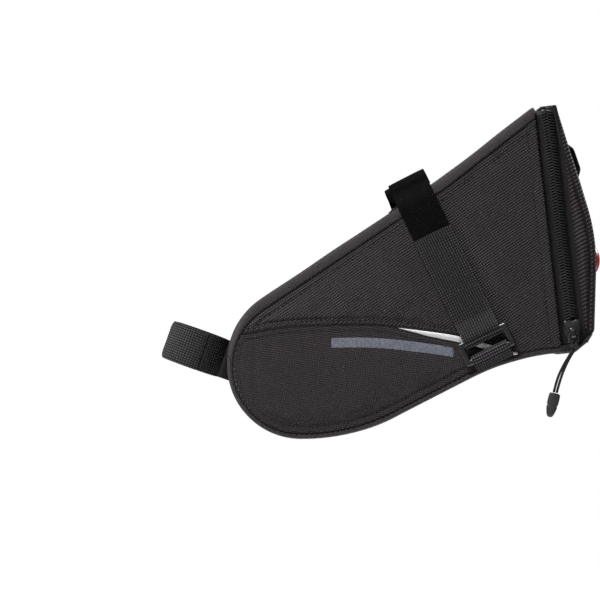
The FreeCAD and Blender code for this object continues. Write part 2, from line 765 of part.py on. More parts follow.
lid_outer = lid_volume("lid_outer", 0.0)
lid_inner = lid_volume("lid_inner", fabric)
lid_shell = boolean("Cut", "lid_shell", lid_outer, lid_inner)
gusset_depth = fabric + 0.4
gusset_region = left_mask("gusset_region", lid_outline(
    -past_rim, gusset_depth + gap / 2, gusset_depth + gap / 2), rim_frame)
back_cut = pad_body("back_cut", "XZ_Plane", rounded(
    lid_outline(-past_rim, gusset_depth - gap / 2, gusset_depth - gap / 2)), 2 * FAR, rim_frame)
pair("lid_gusset", boolean("Common", "left_gusset", lid_shell, gusset_region))
node("lid_back_panel", boolean("Cut", "lid_back", lid_shell, back_cut))


def back_point(height, out):
    """A point out from the lid's back, at a height measured along the zip."""
    corners = lid_corners()
    low = Vector(corners[3][0], corners[3][1], 0)
    apex = Vector(corners[4][0], corners[4][1], 0)
    high = Vector(corners[5][0], corners[5][1], 0)
    start, end = (low, apex) if height < apex.y else (apex, high)
    along = (end - start).normalize()
    point = start + along * ((height - start.y) / along.y)
    return point + Vector(along.y, -along.x, 0) * out


def back_path(steps):
    """Corners of a path over the lid's back from (height, out, radius) steps."""
    corners = []
    for height, out, radius in steps:
        point = back_point(height, out)
        corners.append((point.x, point.y, radius))
    return corners


foam_level = -(fabric + gap + size("foam") / 2)
foam_top = lid_neck + 12
lid_foam_path = back_path([(foam_top, foam_level, 0), (size("lid_foot") + 6, foam_level, 0)])
apex_corner = offset_outline(lid_corners(), [0, 0, 0] + [-foam_level] * 3)[4]
lid_foam_path.insert(1, apex_corner)
node("lid_foam", strip_body("lid_foam_body", "XZ_Plane", lid_foam_path, size("foam"),
                            "2 * Sizes.lid_foam_half_width", rim_frame))

# Hinge fabric: a strip that stays with the bag and a flap that swings with the lid.
hinge_gap = 0.35
node("hinge_strip", box_body(
    "hinge_strip_body", (rim_edge + gap, -size("flap_half_width"), 0),
    (-rim_edge - gap - hinge_gap, 2 * size("flap_half_width"), fabric), rim_frame))
flap_out = size("tape_edge") + 2.0
node("hinge_flap", pad_body("hinge_flap_body", "XZ_Plane", rounded([
    (hinge_gap, 0, 0), (flap_out, size("lid_foot") - gap - fabric, 3),
    (flap_out, size("lid_foot") - gap, 0), (size("tape_edge") - 1, size("lid_foot") - gap, 3),
    (hinge_gap, fabric, 0)]), "2 * Sizes.flap_half_width", rim_frame))

# Light loop
loop_low = size("loop_top") - size("loop_span")
loop_seat = gap + size("strap_thick") / 2
loop_out = loop_seat + size("loop_gap")
node("light_loop", strip_body("light_loop_body", "XZ_Plane", back_path([
    (size("loop_top"), loop_seat, 0), (size("loop_top") - 4.5, loop_seat, 4),
    (size("loop_top") - 8.5, loop_out, 4), (loop_low + 8.5, loop_out, 4),
    (loop_low + 4.5, loop_seat, 4), (loop_low, loop_seat, 0)]), size("strap_thick"),
    "Sizes.loop_width", rim_frame))

# Badge
badge_seat = back_point(size("badge_up"), 0.1)
badge_normal = badge_seat - back_point(size("badge_up"), 0)
badge_way = rim_frame.Rotation.multVec(Vector(badge_normal.x, 0, badge_normal.y))
badge_frame = Placement(rim_frame.multVec(Vector(badge_seat.x, 0, badge_seat.y)),
                        Rotation(Vector(0, 0, 1), badge_way))


def revolved(name, edges, frame):
    """A body turned about its frame's z axis from a half outline on XZ."""
    body = new_body(name, frame)
    sketch = add_sketch(body, name + "_sketch", "XZ_Plane")
    for edge in edges:
        sketch.addGeometry(edge)
    turn = body.newObject("PartDesign::Revolution", name + "_turn")
    turn.Profile = sketch
    turn.ReferenceAxis = (sketch, ["V_Axis"])
    turn.Angle = 360
    return body


badge_radius = size("badge_radius")
rim_in = badge_radius - size("badge_rim")
badge_thick = size("badge_thick")
node("badge_base", revolved("badge_base_body", rounded([
    (0, 0, 0), (badge_radius, 0, 0), (badge_radius, badge_thick + 0.8, 0.5),
    (rim_in, badge_thick + 0.8, 0.4), (rim_in, badge_thick, 0), (0, badge_thick, 0)]),
    badge_frame))
dome_low = badge_thick + 0.1
node("badge_dome", revolved("badge_dome_body", rounded([
    (0, dome_low, 0), (rim_in - gap, dome_low, 0), (rim_in - gap, dome_low + 0.9, 0.5),
    (rim_in / 2, dome_low + 1.6, 6), (0, dome_low + 1.6, 0)]), badge_frame))

# ---------------------------------------------------------------- straps over the rails
# Paths in the strap frame's y and z: y runs into the bag and z up, from the rail's middle.

webbing = size("strap_thick")
lay = size("strap_gap")
on_side = -(side_distance + lay + webbing / 2)
buckle_face = on_side - webbing / 2 - lay
buckle_thick = size("buckle_thick")
over_buckle = buckle_face - buckle_thick - lay - webbing / 2
round_rail = size("rail_radius") + webbing / 2
window_top = -(size("buckle_top") + size("buckle_bar"))
window_foot = -(size("buckle_top") + size("buckle_length") - size("buckle_bar"))
fold = window_top - lay - webbing / 2
fold_round = (on_side - over_buckle) / 2
stub_end = -size("buckle_top") - 1.2

pair("rail_strap", strip_body("left_rail_strap_body", "YZ_Plane", [
    (round_rail, -size("strap_inner_leg"), 0), (round_rail, round_rail, round_rail),
    (-round_rail, round_rail, round_rail), (-round_rail, -1.6, 6), (on_side, -8.4, 8),
    (on_side, fold, fold_round * 0.98), (over_buckle, fold, fold_round * 0.98),
    (over_buckle, stub_end, 0)], webbing, "Sizes.strap_width", strap_frame))

on_strap = on_side - webbing - lay
tail_root = stub_end + 0.3
tail_land = tail_root + 2.0
pair("strap_tail", strip_body("left_strap_tail_body", "YZ_Plane", [
    (over_buckle, tail_root, 0), (over_buckle, tail_land, 3), (on_strap, tail_land + 8, 6),
    (on_strap, -size("tail_end"), 0)], webbing, "Sizes.strap_width", strap_frame))

tail_hinge = strap_frame.multVec(Vector(0, over_buckle - webbing / 2, stub_end + 0.15))
print("tail hinge", [round(v, 3) for v in tail_hinge],
      "axis", [round(v, 5) for v in strap_frame.Rotation.multVec(Vector(1, 0, 0))])

tab_fold = window_foot + lay + webbing / 2
pair("buckle_tab", strip_body("left_buckle_tab_body", "YZ_Plane", [
    (on_side, -size("tab_end"), 0), (on_side, tab_fold, fold_round * 0.98),
    (over_buckle, tab_fold, fold_round * 0.98),
    (over_buckle, window_foot - size("buckle_bar") - 0.4, 3),
    (on_strap, -size("tab_end"), 0)], webbing, "Sizes.strap_width", strap_frame))


def buckle_body():
    """A flat rectangular loop that both the strap and its tab are folded round."""
    half = size("strap_width") / 2 + size("buckle_play") + size("buckle_bar")
    low = -(size("buckle_top") + size("buckle_length"))
    high = -size("buckle_top")
    bar = size("buckle_bar")
    body = new_body("left_buckle_body", strap_frame)
    sketch = add_sketch(body, "buckle_outline", "XZ_Plane", -buckle_face)
    outline = [(-half, low, 1.5), (half, low, 1.5), (half, high, 1.5), (-half, high, 1.5)]
    hole = [(-half + bar, low + bar, 0.6), (half - bar, low + bar, 0.6),
            (half - bar, high - bar, 0.6), (-half + bar, high - bar, 0.6)]
    for edge in rounded(outline) + rounded(hole):
        sketch.addGeometry(edge)
    finish_pad(body, sketch, "Sizes.buckle_thick", False)
    return body


def rounded_bars(name, item, radius):
    """The flat loop with every edge of its two faces rounded."""
    doc.recompute()
    out = strap_frame.Rotation.multVec(Vector(0, 1, 0))
    chosen = []
    for index, edge in enumerate(item.Shape.Edges, 1):
        if abs(edge.tangentAt(edge.FirstParameter).dot(out)) < 0.5:
            chosen.append((index, radius, radius))
    fillet = doc.addObject("Part::Fillet", name)
    fillet.Base = item
    fillet.Edges = chosen
    return fillet


pair("buckle", rounded_bars("left_buckle_rounded", buckle_body(), size("buckle_round")))

anchor_out = size("rail_offset") - round_rail + webbing / 2
pair("strap_anchor", box_body(
    "left_anchor_body", (-size("strap_width") / 2, -anchor_out, gap),
    (size("strap_width"), size("anchor_length"), webbing), top_frame))

# ---------------------------------------------------------------- strap round the seatpost
# Paths in the post frame's x and y: x points to the bag's nose, y to the bike's right.

post_radius = size("post_radius")
post_webbing = size("post_strap_thick")


def ring_path(radius, start, end):
    """Corners of a path that follows a circle between two angles in degrees."""
    steps = max(2, math.ceil(abs(end - start) / 60))
    step = math.radians(end - start) / steps
    corners = [(radius * math.cos(math.radians(start)), radius * math.sin(math.radians(start)), 0)]
    for i in range(steps):
        middle = math.radians(start) + (i + 0.5) * step
        out = radius / math.cos(step / 2)
        corners.append((out * math.cos(middle), out * math.sin(middle), radius))
    last = math.radians(end)
    corners.append((radius * math.cos(last), radius * math.sin(last), 0))
    return corners


ring_inner = post_radius + post_webbing / 2
ring_outer = ring_inner + post_webbing + lay
node("post_strap_inner", strip_body("post_inner_body", "XY_Plane",
                                    ring_path(ring_inner, 6, 318), post_webbing,
                                    "Sizes.post_strap_width", post_frame))
node("post_strap_outer", strip_body("post_outer_body", "XY_Plane",
                                    ring_path(ring_outer, -12, -72), post_webbing,
                                    "Sizes.post_strap_width", post_frame))
TAIL_START = -74.0
TAIL_LEAVES = -158.0
leave = math.radians(TAIL_LEAVES)
tail_ring = ring_path(ring_outer, TAIL_START, TAIL_LEAVES)
ring_end = tail_ring.pop()
tail_ring.append((ring_end[0] + size("post_tail_free") * math.sin(leave),
                  ring_end[1] - size("post_tail_free") * math.cos(leave), 0))
node("post_strap_tail", strip_body("post_tail_body", "XY_Plane", tail_ring, post_webbing,
                                   "Sizes.post_strap_width", post_frame))

tab_start = post_radius + post_webbing + lay
tab_block = box_body("post_tab_block",
                     (tab_start, -size("tab_thick") / 2, -size("post_strap_width") / 2),
                     (size("tab_length"), size("tab_thick"), size("post_strap_width")), post_frame)
tab_room = bag_volume("tab_room", -gap, rim_edge, False)
node("post_strap_anchor", boolean("Cut", "post_anchor", tab_block, tab_room))

post_axis = post_frame.Rotation.multVec(Vector(0, 0, 1))
hinge_at = math.radians((TAIL_START - 72.0) / 2)
hinge_out = ring_outer + post_webbing / 2
post_hinge = post_frame.multVec(
    Vector(hinge_out * math.cos(hinge_at), hinge_out * math.sin(hinge_at), 0))
print("post hinge", [round(v, 3) for v in post_hinge], "axis",
      [round(v, 5) for v in post_axis])

# ---------------------------------------------------------------- check and write

doc.recompute()
for item in doc.Objects:
    bad = {"Invalid", "Error"} & set(item.State)
    if bad:
        raise RuntimeError(f"{item.Name} ({item.Label}) is {sorted(bad)}")
for name, item in NODES.items():
    if item.Shape.isNull() or not item.Shape.isValid() or not item.Shape.Solids:
        raise RuntimeError(f"{name} has no valid solid")

os.makedirs("parts", exist_ok=True)
for name, item in NODES.items():
    item.Shape.exportStep(f"parts/{name}.step")
    box = item.Shape.BoundBox
    print(f"{name}: {len(item.Shape.Solids)} solid(s), {item.Shape.Volume:.1f} mm3, "
          f"x {box.XMin:.1f}..{box.XMax:.1f} y {box.YMin:.1f}..{box.YMax:.1f} "
          f"z {box.ZMin:.1f}..{box.ZMax:.1f}")
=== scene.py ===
"""Looks of the saddle bag: fabric shells, webbing, zip, pull and finishes on the fixed frame."""

import json
import math

import bmesh
import bpy
import numpy as np
from bpy.props import FloatProperty, FloatVectorProperty, PointerProperty
from mathutils import Matrix, Vector, noise
from mathutils.bvhtree import BVHTree


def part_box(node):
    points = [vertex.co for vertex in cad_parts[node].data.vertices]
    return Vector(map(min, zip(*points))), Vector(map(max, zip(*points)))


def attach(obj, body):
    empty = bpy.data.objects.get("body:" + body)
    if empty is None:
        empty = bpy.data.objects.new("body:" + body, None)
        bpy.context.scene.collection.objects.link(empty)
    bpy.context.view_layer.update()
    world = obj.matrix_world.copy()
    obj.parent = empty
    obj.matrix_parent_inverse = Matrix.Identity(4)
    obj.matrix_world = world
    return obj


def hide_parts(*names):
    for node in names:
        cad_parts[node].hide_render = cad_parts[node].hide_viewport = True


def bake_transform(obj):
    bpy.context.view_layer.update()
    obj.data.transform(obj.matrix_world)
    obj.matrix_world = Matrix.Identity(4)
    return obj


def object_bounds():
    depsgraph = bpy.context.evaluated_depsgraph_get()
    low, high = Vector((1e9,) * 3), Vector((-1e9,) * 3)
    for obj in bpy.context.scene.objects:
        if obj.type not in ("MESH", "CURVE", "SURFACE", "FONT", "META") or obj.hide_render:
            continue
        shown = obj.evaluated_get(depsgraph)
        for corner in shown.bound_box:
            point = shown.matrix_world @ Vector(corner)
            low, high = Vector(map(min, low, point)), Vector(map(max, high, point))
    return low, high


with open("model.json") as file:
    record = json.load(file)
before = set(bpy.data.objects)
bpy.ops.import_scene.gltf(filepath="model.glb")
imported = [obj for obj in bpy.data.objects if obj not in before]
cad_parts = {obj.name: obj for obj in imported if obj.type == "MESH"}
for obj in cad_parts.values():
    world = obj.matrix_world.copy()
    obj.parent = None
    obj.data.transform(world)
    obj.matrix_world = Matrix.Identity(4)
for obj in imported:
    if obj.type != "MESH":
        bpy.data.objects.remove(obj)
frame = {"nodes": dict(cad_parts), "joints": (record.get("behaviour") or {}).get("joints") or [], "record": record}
CAD_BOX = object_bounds()

bl_info = {
    "name": "Saddle Bag Maker",
    "version": (1, 0, 0),
    "blender": (4, 5, 0),
    "location": "View3D > Sidebar > Saddle Bag",
    "description": "Sews a bicycle saddle bag round its fixed frame",
    "category": "Object",
}

MM = 0.001
JOINTS = {joint["name"]: joint for joint in frame["joints"]}

# ------------------------------------------------------------------ frames
# HINGE is on the lid's hinge line. BACK points out through the lid and UP runs along the zip.

HINGE = Vector(JOINTS["lid_hinge"]["pos_m"])
UP = Vector(JOINTS["zip_slide"]["axis"]).normalized()
BACK = Vector((UP.z, 0, -UP.x))
LEFT = Vector((0, -1, 0))
TAPER = math.radians(6.5)
INWARD = BACK * math.sin(TAPER) - LEFT * math.cos(TAPER)
ALONG = Vector(JOINTS["left_tail_peel"]["axis"]).normalized()
STRAP_UP = ALONG.cross(INWARD)
LEFT_RAIL = Vector((0, -27 * MM, 0))
POST_UP = Vector(JOINTS["post_tail_peel"]["axis"]).normalized()
POST_AHEAD = Vector((POST_UP.z, 0, -POST_UP.x))
POST = Vector(next(m["pos_m"] for m in frame["record"]["mounts"] if m["name"] == "post_loop"))

# ------------------------------------------------------------------ sizes of the frame's pieces

RIM_RISE = 125.2 * MM
RIM_EDGE = -6.4 * MM
RIM_HALF = 43.0 * MM
BELLY_DROP = 130.0 * MM
NOSE_REACH = 93.4 * MM
TOP_DROP = 7.85 * MM
TOP_SLOPE = math.tan(math.radians(33.7))
SHOULDER_X = 15.0 * MM
HEEL_X = 50.6 * MM
BELLY_RISE = math.tan(math.radians(27.5))
TOP_WRAP = 5.3 * MM
BELLY_WRAP = 2.7 * MM
SEAM_LINE = [(-110, -80.5, 0), (-62, -72.3, 160), (-18, -71.0, 200), (26, -76.4, 160),
             (78, -92.6, 0)]
WEDGE_LINE = [(-14, -71.2, 0), (8, -77.2, 60), (30, -81.6, 120), (64, -92.6, 0)]
WEBBING = 1.2 * MM
LAY = 0.3 * MM
STRAP_HALF = 10.0 * MM
POST_RADIUS = 12.7 * MM
POST_WEBBING = 1.4 * MM
LID_HALF = 42.0 * MM
LID_WRAP = 3.4 * MM
LID_ROUND = 4.2 * MM
TOP_ROUND = 5.0 * MM
PANEL_CROWN = 0.9 * MM
CLOTH = 1.3 * MM
TAPE_FACE = 42.1 * MM
BINDING_ACROSS = (0.05, 1.0, 0.03)
CORD_ROUND = 1.3 * MM
PULL_ROUTE = [(-11.6, -28.9), (-9.2, -22.6), (-5.4, -15.4), (-1.3, -9.6), (0.72, -7.7),
              (0.78, -5.4), (1.9, -3.3), (1.9, 0.0), (-1.9, 0.0), (-1.9, -3.3),
              (-0.78, -5.4), (-0.85, -8.0), (-3.2, -10.9), (-7.2, -16.2), (-10.9, -22.4),
              (-13.0, -28.4)]


# ------------------------------------------------------------------ settings


def length(name, description, default):
    return FloatProperty(name=name, description=description, default=default, min=0.0,
                         unit="LENGTH", subtype="DISTANCE", precision=5)


def colour(name, description, shade):
    return FloatVectorProperty(name=name, description=description, default=shade, size=3,
                               subtype="COLOR", min=0.0, max=1.0)


class SaddleBagSizes(bpy.types.PropertyGroup):
    """Sizes of the sewn details, in metres."""

    puff: length("Puff", "How far the side panels stand out between their seams", 0.0016)
    seam_roll: length("Seam roll", "Depth of the valley along each seam", 0.0011)
    seam_reach: length("Seam reach", "Width of the rolled edge beside a seam", 0.0020)
    stitch_inset: length("Stitch inset", "Seam to its row of stitches", 0.0034)
    stitch_step: length("Stitch step", "Distance from one stitch to the next", 0.0027)
    stitch_length: length("Stitch length", "Visible length of a stitch", 0.0018)
    thread: length("Thread", "Thickness of the sewing thread", 0.00050)
    tooth_step: length("Tooth step", "Distance from one zip tooth to the next", 0.00145)
    tooth_wire: length("Tooth wire", "Thickness of the zip's coil wire", 0.00068)
    rib_step: length("Rib step", "Distance from one rib of the webbing to the next", 0.00142)
    rib_height: length("Rib height", "Height of the webbing's ribs", 0.00038)
    lid_rib_step: length("Lid rib step", "Distance between the ribs of the lid's fabric",
                         0.00185)
    floor_drop: length("Floor drop", "Lowest point of the bag to the floor", 0.16)


class SaddleBagColours(bpy.types.PropertyGroup):
    """Base colours, as linear values."""

    upper: colour("Upper panels", "Textured fabric of the upper side panels",
                  (0.0155, 0.0124, 0.0138))
    lower: colour("Lower panels", "Plain weave of the lower side panels",
                  (0.0170, 0.0128, 0.0142))
    wrap: colour("Top and belly", "Smooth fabric that wraps over the edges",
                 (0.0190, 0.0148, 0.0160))
    webbing: colour("Webbing", "Straps and loops", (0.0135, 0.0127, 0.0136))
    tape: colour("Zip tape", "Tape that carries the coil", (0.0085, 0.0078, 0.0086))
    coil: colour("Zip coil", "Moulded coil", (0.0090, 0.0084, 0.0092))
    reflective: colour("Reflective", "Reflective wedge", (0.45, 0.45, 0.455))
    print_ink: colour("Print", "Ink of the side print", (0.085, 0.091, 0.112))
    rubber: colour("Pull tip", "Moulded tip of the pull", (0.015, 0.0145, 0.014))
    red: colour("Badge", "Red lens of the badge", (0.62, 0.035, 0.022))


def sizes():
    return bpy.context.scene.saddle_bag_sizes


def colours():
    return bpy.context.scene.saddle_bag_colours


# ------------------------------------------------------------------ outlines in a plane


def offset_outline(corners, distances, closed=True):
    """Corners (u, v, radius) with each edge moved to its left; edge i starts at corner i."""
    count = len(corners)
    edge_count = count if closed else count - 1
    points = [Vector(corner[:2]) for corner in corners]
    lines = []
    for i in range(edge_count):
        along = (points[(i + 1) % count] - points[i]).normalized()
        left = Vector((-along.y, along.x))
        lines.append((points[i] + left * distances[i], along, left))
    moved = []
    for i in range(count):
        before = lines[i - 1] if closed or i else lines[0]
        after = lines[i] if i < edge_count else lines[-1]
        turn = before[1].cross(after[1])
        if abs(turn) < 1e-9:
            point = points[i] + after[2] * distances[min(i, edge_count - 1)]
        else:
            point = before[0] + before[1] * ((after[0] - before[0]).cross(after[1]) / turn)
        radius = corners[i][2]
        if radius:
            mean = (distances[i - 1] + distances[min(i, edge_count - 1)]) / 2
            radius = max(radius - math.copysign(1, turn) * mean, 0.1 * MM)
        moved.append((point.x, point.y, radius))
    return moved


def scaled(corners):
    """Corners given in millimetres, in metres."""
    return [(u * MM, v * MM, radius * MM) for u, v, radius in corners]


def runs(corners):
    """The straight runs and tangent arcs of an open rounded path: (length, place at 0..1)."""
    points = [Vector(corner[:2]) for corner in corners]
    last = len(points) - 1
    reach = [0.0] * len(points)
    ways = [(points[i + 1] - points[i]).normalized() for i in range(last)]
    for i in range(1, last):
        reach[i] = corners[i][2] * math.tan(ways[i - 1].angle(ways[i]) / 2)
    for i in range(last):
        room = (points[i + 1] - points[i]).length
        if reach[i] + reach[i + 1] > room:
            share = 0.999 * room / (reach[i] + reach[i + 1])
            reach[i] *= share
            reach[i + 1] *= share
    pieces = []
    for i in range(last):
        start = points[i] + ways[i] * reach[i]
        end = points[i + 1] - ways[i] * reach[i + 1]
        pieces.append(((end - start).length, straight(start, end)))
        if reach[i + 1]:
            half = ways[i].angle(ways[i + 1]) / 2
            radius = reach[i + 1] / math.tan(half)
            pieces.append((2 * half * radius, bend(end, ways[i], ways[i + 1], radius, half)))
    return pieces


def straight(start, end):
    """Places along a line from start to end."""
    return lambda t: start + (end - start) * t


def bend(start, way, next_way, radius, half):
    """Places along an arc that starts at start in direction way and ends along next_way."""
    side = math.copysign(1, way.cross(next_way))
    centre = start + Vector((-way.y, way.x)) * side * radius

    def place(t):
        angle = side * 2 * half * t
        arm = start - centre
        return centre + Vector((arm.x * math.cos(angle) - arm.y * math.sin(angle),
                                arm.x * math.sin(angle) + arm.y * math.cos(angle)))
    return place


def counts_for(pieces, step):
    return [max(1, math.ceil(piece[0] / step)) for piece in pieces]


def trace(pieces, counts):
    """Points along the pieces, each cut in its count of steps."""
    points = []
    for (_, place), count in zip(pieces, counts):
        points.extend(place(k / count) for k in range(count))
    points.append(pieces[-1][1](1.0))
    return np.array([tuple(p) for p in points])


def path_of(corners, step):
    pieces = runs(corners)
    return trace(pieces, counts_for(pieces, step))


def resample(points, count):
    """The polyline cut into count equal steps."""
    reach = np.concatenate([[0], np.cumsum(np.linalg.norm(np.diff(points, axis=0), axis=1))])
    at = np.linspace(0, reach[-1], count + 1)
    return np.stack([np.interp(at, reach, points[:, k]) for k in range(points.shape[1])], 1)


def distance_to(points, line):
    """Distance from each 2D point to a polyline."""
    start = line[:-1]
    along = line[1:] - start
    square = np.maximum((along ** 2).sum(1), 1e-18)
    to = points[:, None, :] - start[None]
    t = np.clip((to * along[None]).sum(2) / square[None], 0, 1)
    gap = to - t[..., None] * along[None]
    return np.sqrt((gap ** 2).sum(2)).min(1)


# ------------------------------------------------------------------ the bag's outline


def rim_point(depth, height):
    point = HINGE + BACK * depth + UP * height
    return point.x, point.z


def bag_corners():
    """Side outline from the rim's top forwards round the nose to the rim's foot."""
    heel_z = HINGE.z + (HEEL_X - HINGE.x) * -UP.x / UP.z
    belly_x = HEEL_X - (heel_z + BELLY_DROP) / BELLY_RISE
    return [
        (*rim_point(RIM_EDGE, RIM_RISE), 0),
        (SHOULDER_X, SHOULDER_X * TOP_SLOPE - TOP_DROP, 80 * MM),
        (-NOSE_REACH, -NOSE_REACH * TOP_SLOPE - TOP_DROP, 39.5 * MM),
        (-NOSE_REACH, -BELLY_DROP, 37.5 * MM),
        (belly_x, -BELLY_DROP, 105 * MM),
        (HEEL_X, heel_z, 120 * MM),
        (*rim_point(RIM_EDGE, 0), 0)]


def half_width(x, z):
    """Half the bag's width at points of its middle plane."""
    depth = (x - HINGE.x) * BACK.x + (z - HINGE.z) * BACK.z
    return RIM_HALF + depth * math.tan(TAPER)


OUTER_RUNS = runs(bag_corners())
OUTER_COUNTS = counts_for(OUTER_RUNS, 1.6 * MM)
OUTER = trace(OUTER_RUNS, OUTER_COUNTS)
SEWN = trace(runs(offset_outline(bag_corners(), [TOP_WRAP] * 2 + [BELLY_WRAP] * 4 + [0])),
             OUTER_COUNTS)
SEAM = path_of(scaled(SEAM_LINE), 1 * MM)
WEDGE_LOW = path_of(scaled(WEDGE_LINE), 1 * MM)


def above(line, points):
    """How far points lie above a line that runs from left to right."""
    return points[:, 1] - np.interp(points[:, 0], line[:, 0], line[:, 1])


def crossing(line, points, start, step):
    """First index from start at which the points change sides of the line."""
    side = above(line, points) > 0
    i = start
    while side[i] == side[start]:
        i += step
    return i


def between(line, left_x, right_x):
    """The stretch of a left-to-right line between two x values, with its ends."""
    inside = line[(line[:, 0] > left_x + 1e-6) & (line[:, 0] < right_x - 1e-6)]
    ends = [[x, np.interp(x, line[:, 0], line[:, 1])] for x in (left_x, right_x)]
    return np.vstack([ends[0], inside, ends[1]])


NOSE_HIT = crossing(SEAM, SEWN, 0, 1)
HEEL_HIT = crossing(SEAM, SEWN, len(SEWN) - 1, -1)
WEDGE_HIT = crossing(WEDGE_LOW, SEWN, len(SEWN) - 1, -1)
NOSE_X = SEWN[NOSE_HIT][0]
HEEL_HIT_X = SEWN[HEEL_HIT][0]
WEDGE_HIT_X = SEWN[WEDGE_HIT][0]
WEDGE_TIP_X = WEDGE_LOW[crossing(SEAM, WEDGE_LOW, len(WEDGE_LOW) - 20, -1)][0]


# ------------------------------------------------------------------ node helpers


def node(tree, kind, inputs=None, **settings):
    """A new node; its inputs, by name or number, take plain values or other nodes' sockets."""
    new = tree.nodes.new(kind)
    for key, value in settings.items():
        setattr(new, key, value)
    for key, value in (inputs or {}).items():
        if isinstance(value, bpy.types.NodeSocket):
            tree.links.new(value, new.inputs[key])
        else:
            new.inputs[key].default_value = value
    return new


def math_node(tree, operation, *values):
    """The result of a Math node; each value is a number or a socket."""
    return node(tree, "ShaderNodeMath", dict(enumerate(values)), operation=operation).outputs[0]


def noise_node(tree, vector, scale, detail=2.0):
    return node(tree, "ShaderNodeTexNoise",
                {"Vector": vector, "Scale": scale, "Detail": detail}).outputs[0]


def multiplied(tree, shade, scale):
    """A colour times a number."""
    return node(tree, "ShaderNodeMix", {"Factor": 1.0, 6: shade, 7: scale},
                data_type="RGBA", blend_type="MULTIPLY").outputs[2]


def node_group(name, kind, inputs, output_kinds, build):
    """The node group called name; build makes its nodes once and gives its outputs' sockets."""
    group = bpy.data.node_groups.get(name)
    if group is None:
        group = bpy.data.node_groups.new(name, kind)
        for in_out, sockets in (("INPUT", inputs), ("OUTPUT", output_kinds)):
            for label, socket_kind in sockets.items():
                group.interface.new_socket(label, in_out=in_out,
                                           socket_type="NodeSocket" + socket_kind)
        results = build(group, group.nodes.new("NodeGroupInput").outputs)
        node(group, "NodeGroupOutput", dict(enumerate(results)))
    return group


# ------------------------------------------------------------------ mesh helpers


def link(name, mesh, material):
    piece = bpy.data.objects.new(name, mesh)
    bpy.context.scene.collection.objects.link(piece)
    if material and not mesh.materials:
        mesh.materials.append(material)
    return piece


def shade_smooth(mesh, angle=None):
    mesh.polygons.foreach_set("use_smooth", [True] * len(mesh.polygons))
    if angle:
        mesh.set_sharp_from_angle(angle=math.radians(angle))


def grid_mesh(name, grid, uv, flip=False, wrap=False):
    """A sheet of quads over rows of points; uv holds metres along the cloth."""
    rows, columns = grid.shape[:2]
    verts = grid.reshape(-1, 3)
    uvs = uv.reshape(-1, 2)
    faces = []
    for i in range(rows - 1):
        for j in range(columns if wrap else columns - 1):
            k = (j + 1) % columns
            face = [i * columns + j, i * columns + k, (i + 1) * columns + k,
                    (i + 1) * columns + j]
            faces.append(face[::-1] if flip else face)
    mesh = bpy.data.meshes.new(name)
    mesh.from_pydata([tuple(v) for v in verts], [], faces)
    layer = mesh.uv_layers.new(name="Cloth")
    loops = np.zeros(len(mesh.loops), np.int32)
    mesh.loops.foreach_get("vertex_index", loops)
    layer.data.foreach_set("uv", uvs[loops].astype(np.float32).ravel())
    tidy(mesh)
    return mesh


def tidy(mesh, outwards=False):
    """Merge doubles, drop empty faces and, on a closed shape, turn its faces outwards."""
    work = bmesh.new()
    work.from_mesh(mesh)
    bmesh.ops.remove_doubles(work, verts=work.verts, dist=2e-6)
    bmesh.ops.dissolve_degenerate(work, edges=work.edges, dist=1e-6)
    if outwards:
        bmesh.ops.recalc_face_normals(work, faces=work.faces)
    work.to_mesh(mesh)
    work.free()
    shade_smooth(mesh)


def coordinates(mesh):
    co = np.zeros(len(mesh.vertices) * 3, np.float64)
    mesh.vertices.foreach_get("co", co)
    return co.reshape(-1, 3)


def mirrored(piece, name):
    """A right-hand copy of a left-hand piece."""
    mesh = piece.data.copy()
    mesh.name = name
    mesh.transform(Matrix.Scale(-1, 4, Vector((0, 1, 0))))
    mesh.flip_normals()
    twin = bpy.data.objects.new(name, mesh)
    bpy.context.scene.collection.objects.link(twin)
    for modifier in piece.modifiers:
        copy = twin.modifiers.new(modifier.name, modifier.type)
        if modifier.type == "SOLIDIFY":
            copy.thickness = modifier.thickness
            copy.offset = modifier.offset
    return twin


def thicken(piece, thickness=CLOTH):
    """Give a sheet its thickness, behind the face that shows."""
    solid = piece.modifiers.new("Thickness", "SOLIDIFY")
    solid.thickness = thickness
    solid.offset = -1.0
    solid.use_rim = True
    return piece


def sewn_on(piece, body, slot, *nodes):
    """Ride on a body and stand for its frame pieces; slot is not used."""
    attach(piece, body)
    if nodes:
        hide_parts(*nodes)
    return piece


def settle(piece, held, pressure, slack, cap):
    """Let cloth find its own shape between its held points, moved by no more than cap."""
    scene = bpy.context.scene
    rest = coordinates(piece.data)
    twin = bpy.data.objects.new(piece.name + "_cloth", piece.data.copy())
    scene.collection.objects.link(twin)
    group = twin.vertex_groups.new(name="held")
    for index, weight in enumerate(held):
        if weight > 0:
            group.add([index], float(weight), "REPLACE")
    cloth = twin.modifiers.new("Cloth", "CLOTH")
    cloth.settings.quality = 6
    cloth.settings.mass = 0.15
    cloth.settings.bending_stiffness = 0.4
    cloth.settings.vertex_group_mass = "held"
    cloth.settings.shrink_min = -slack
    cloth.settings.use_pressure = True
    cloth.settings.uniform_pressure_force = pressure
    cloth.settings.effector_weights.gravity = 0
    cloth.collision_settings.use_collision = False
    cloth.point_cache.frame_start = 1
    cloth.point_cache.frame_end = 16
    for step in range(1, 17):
        scene.frame_set(step)
    view = bpy.context.evaluated_depsgraph_get()
    moved = coordinates(twin.evaluated_get(view).data) - rest
    scene.frame_set(1)
    bpy.data.objects.remove(twin)
    reach = np.linalg.norm(moved, axis=1)
    moved *= (np.minimum(reach, cap) / np.maximum(reach, 1e-9))[:, None]
    moved = calmed(piece.data, moved, 4)
    piece.data.vertices.foreach_set("co", (rest + moved).astype(np.float32).ravel())
    piece.data.update()


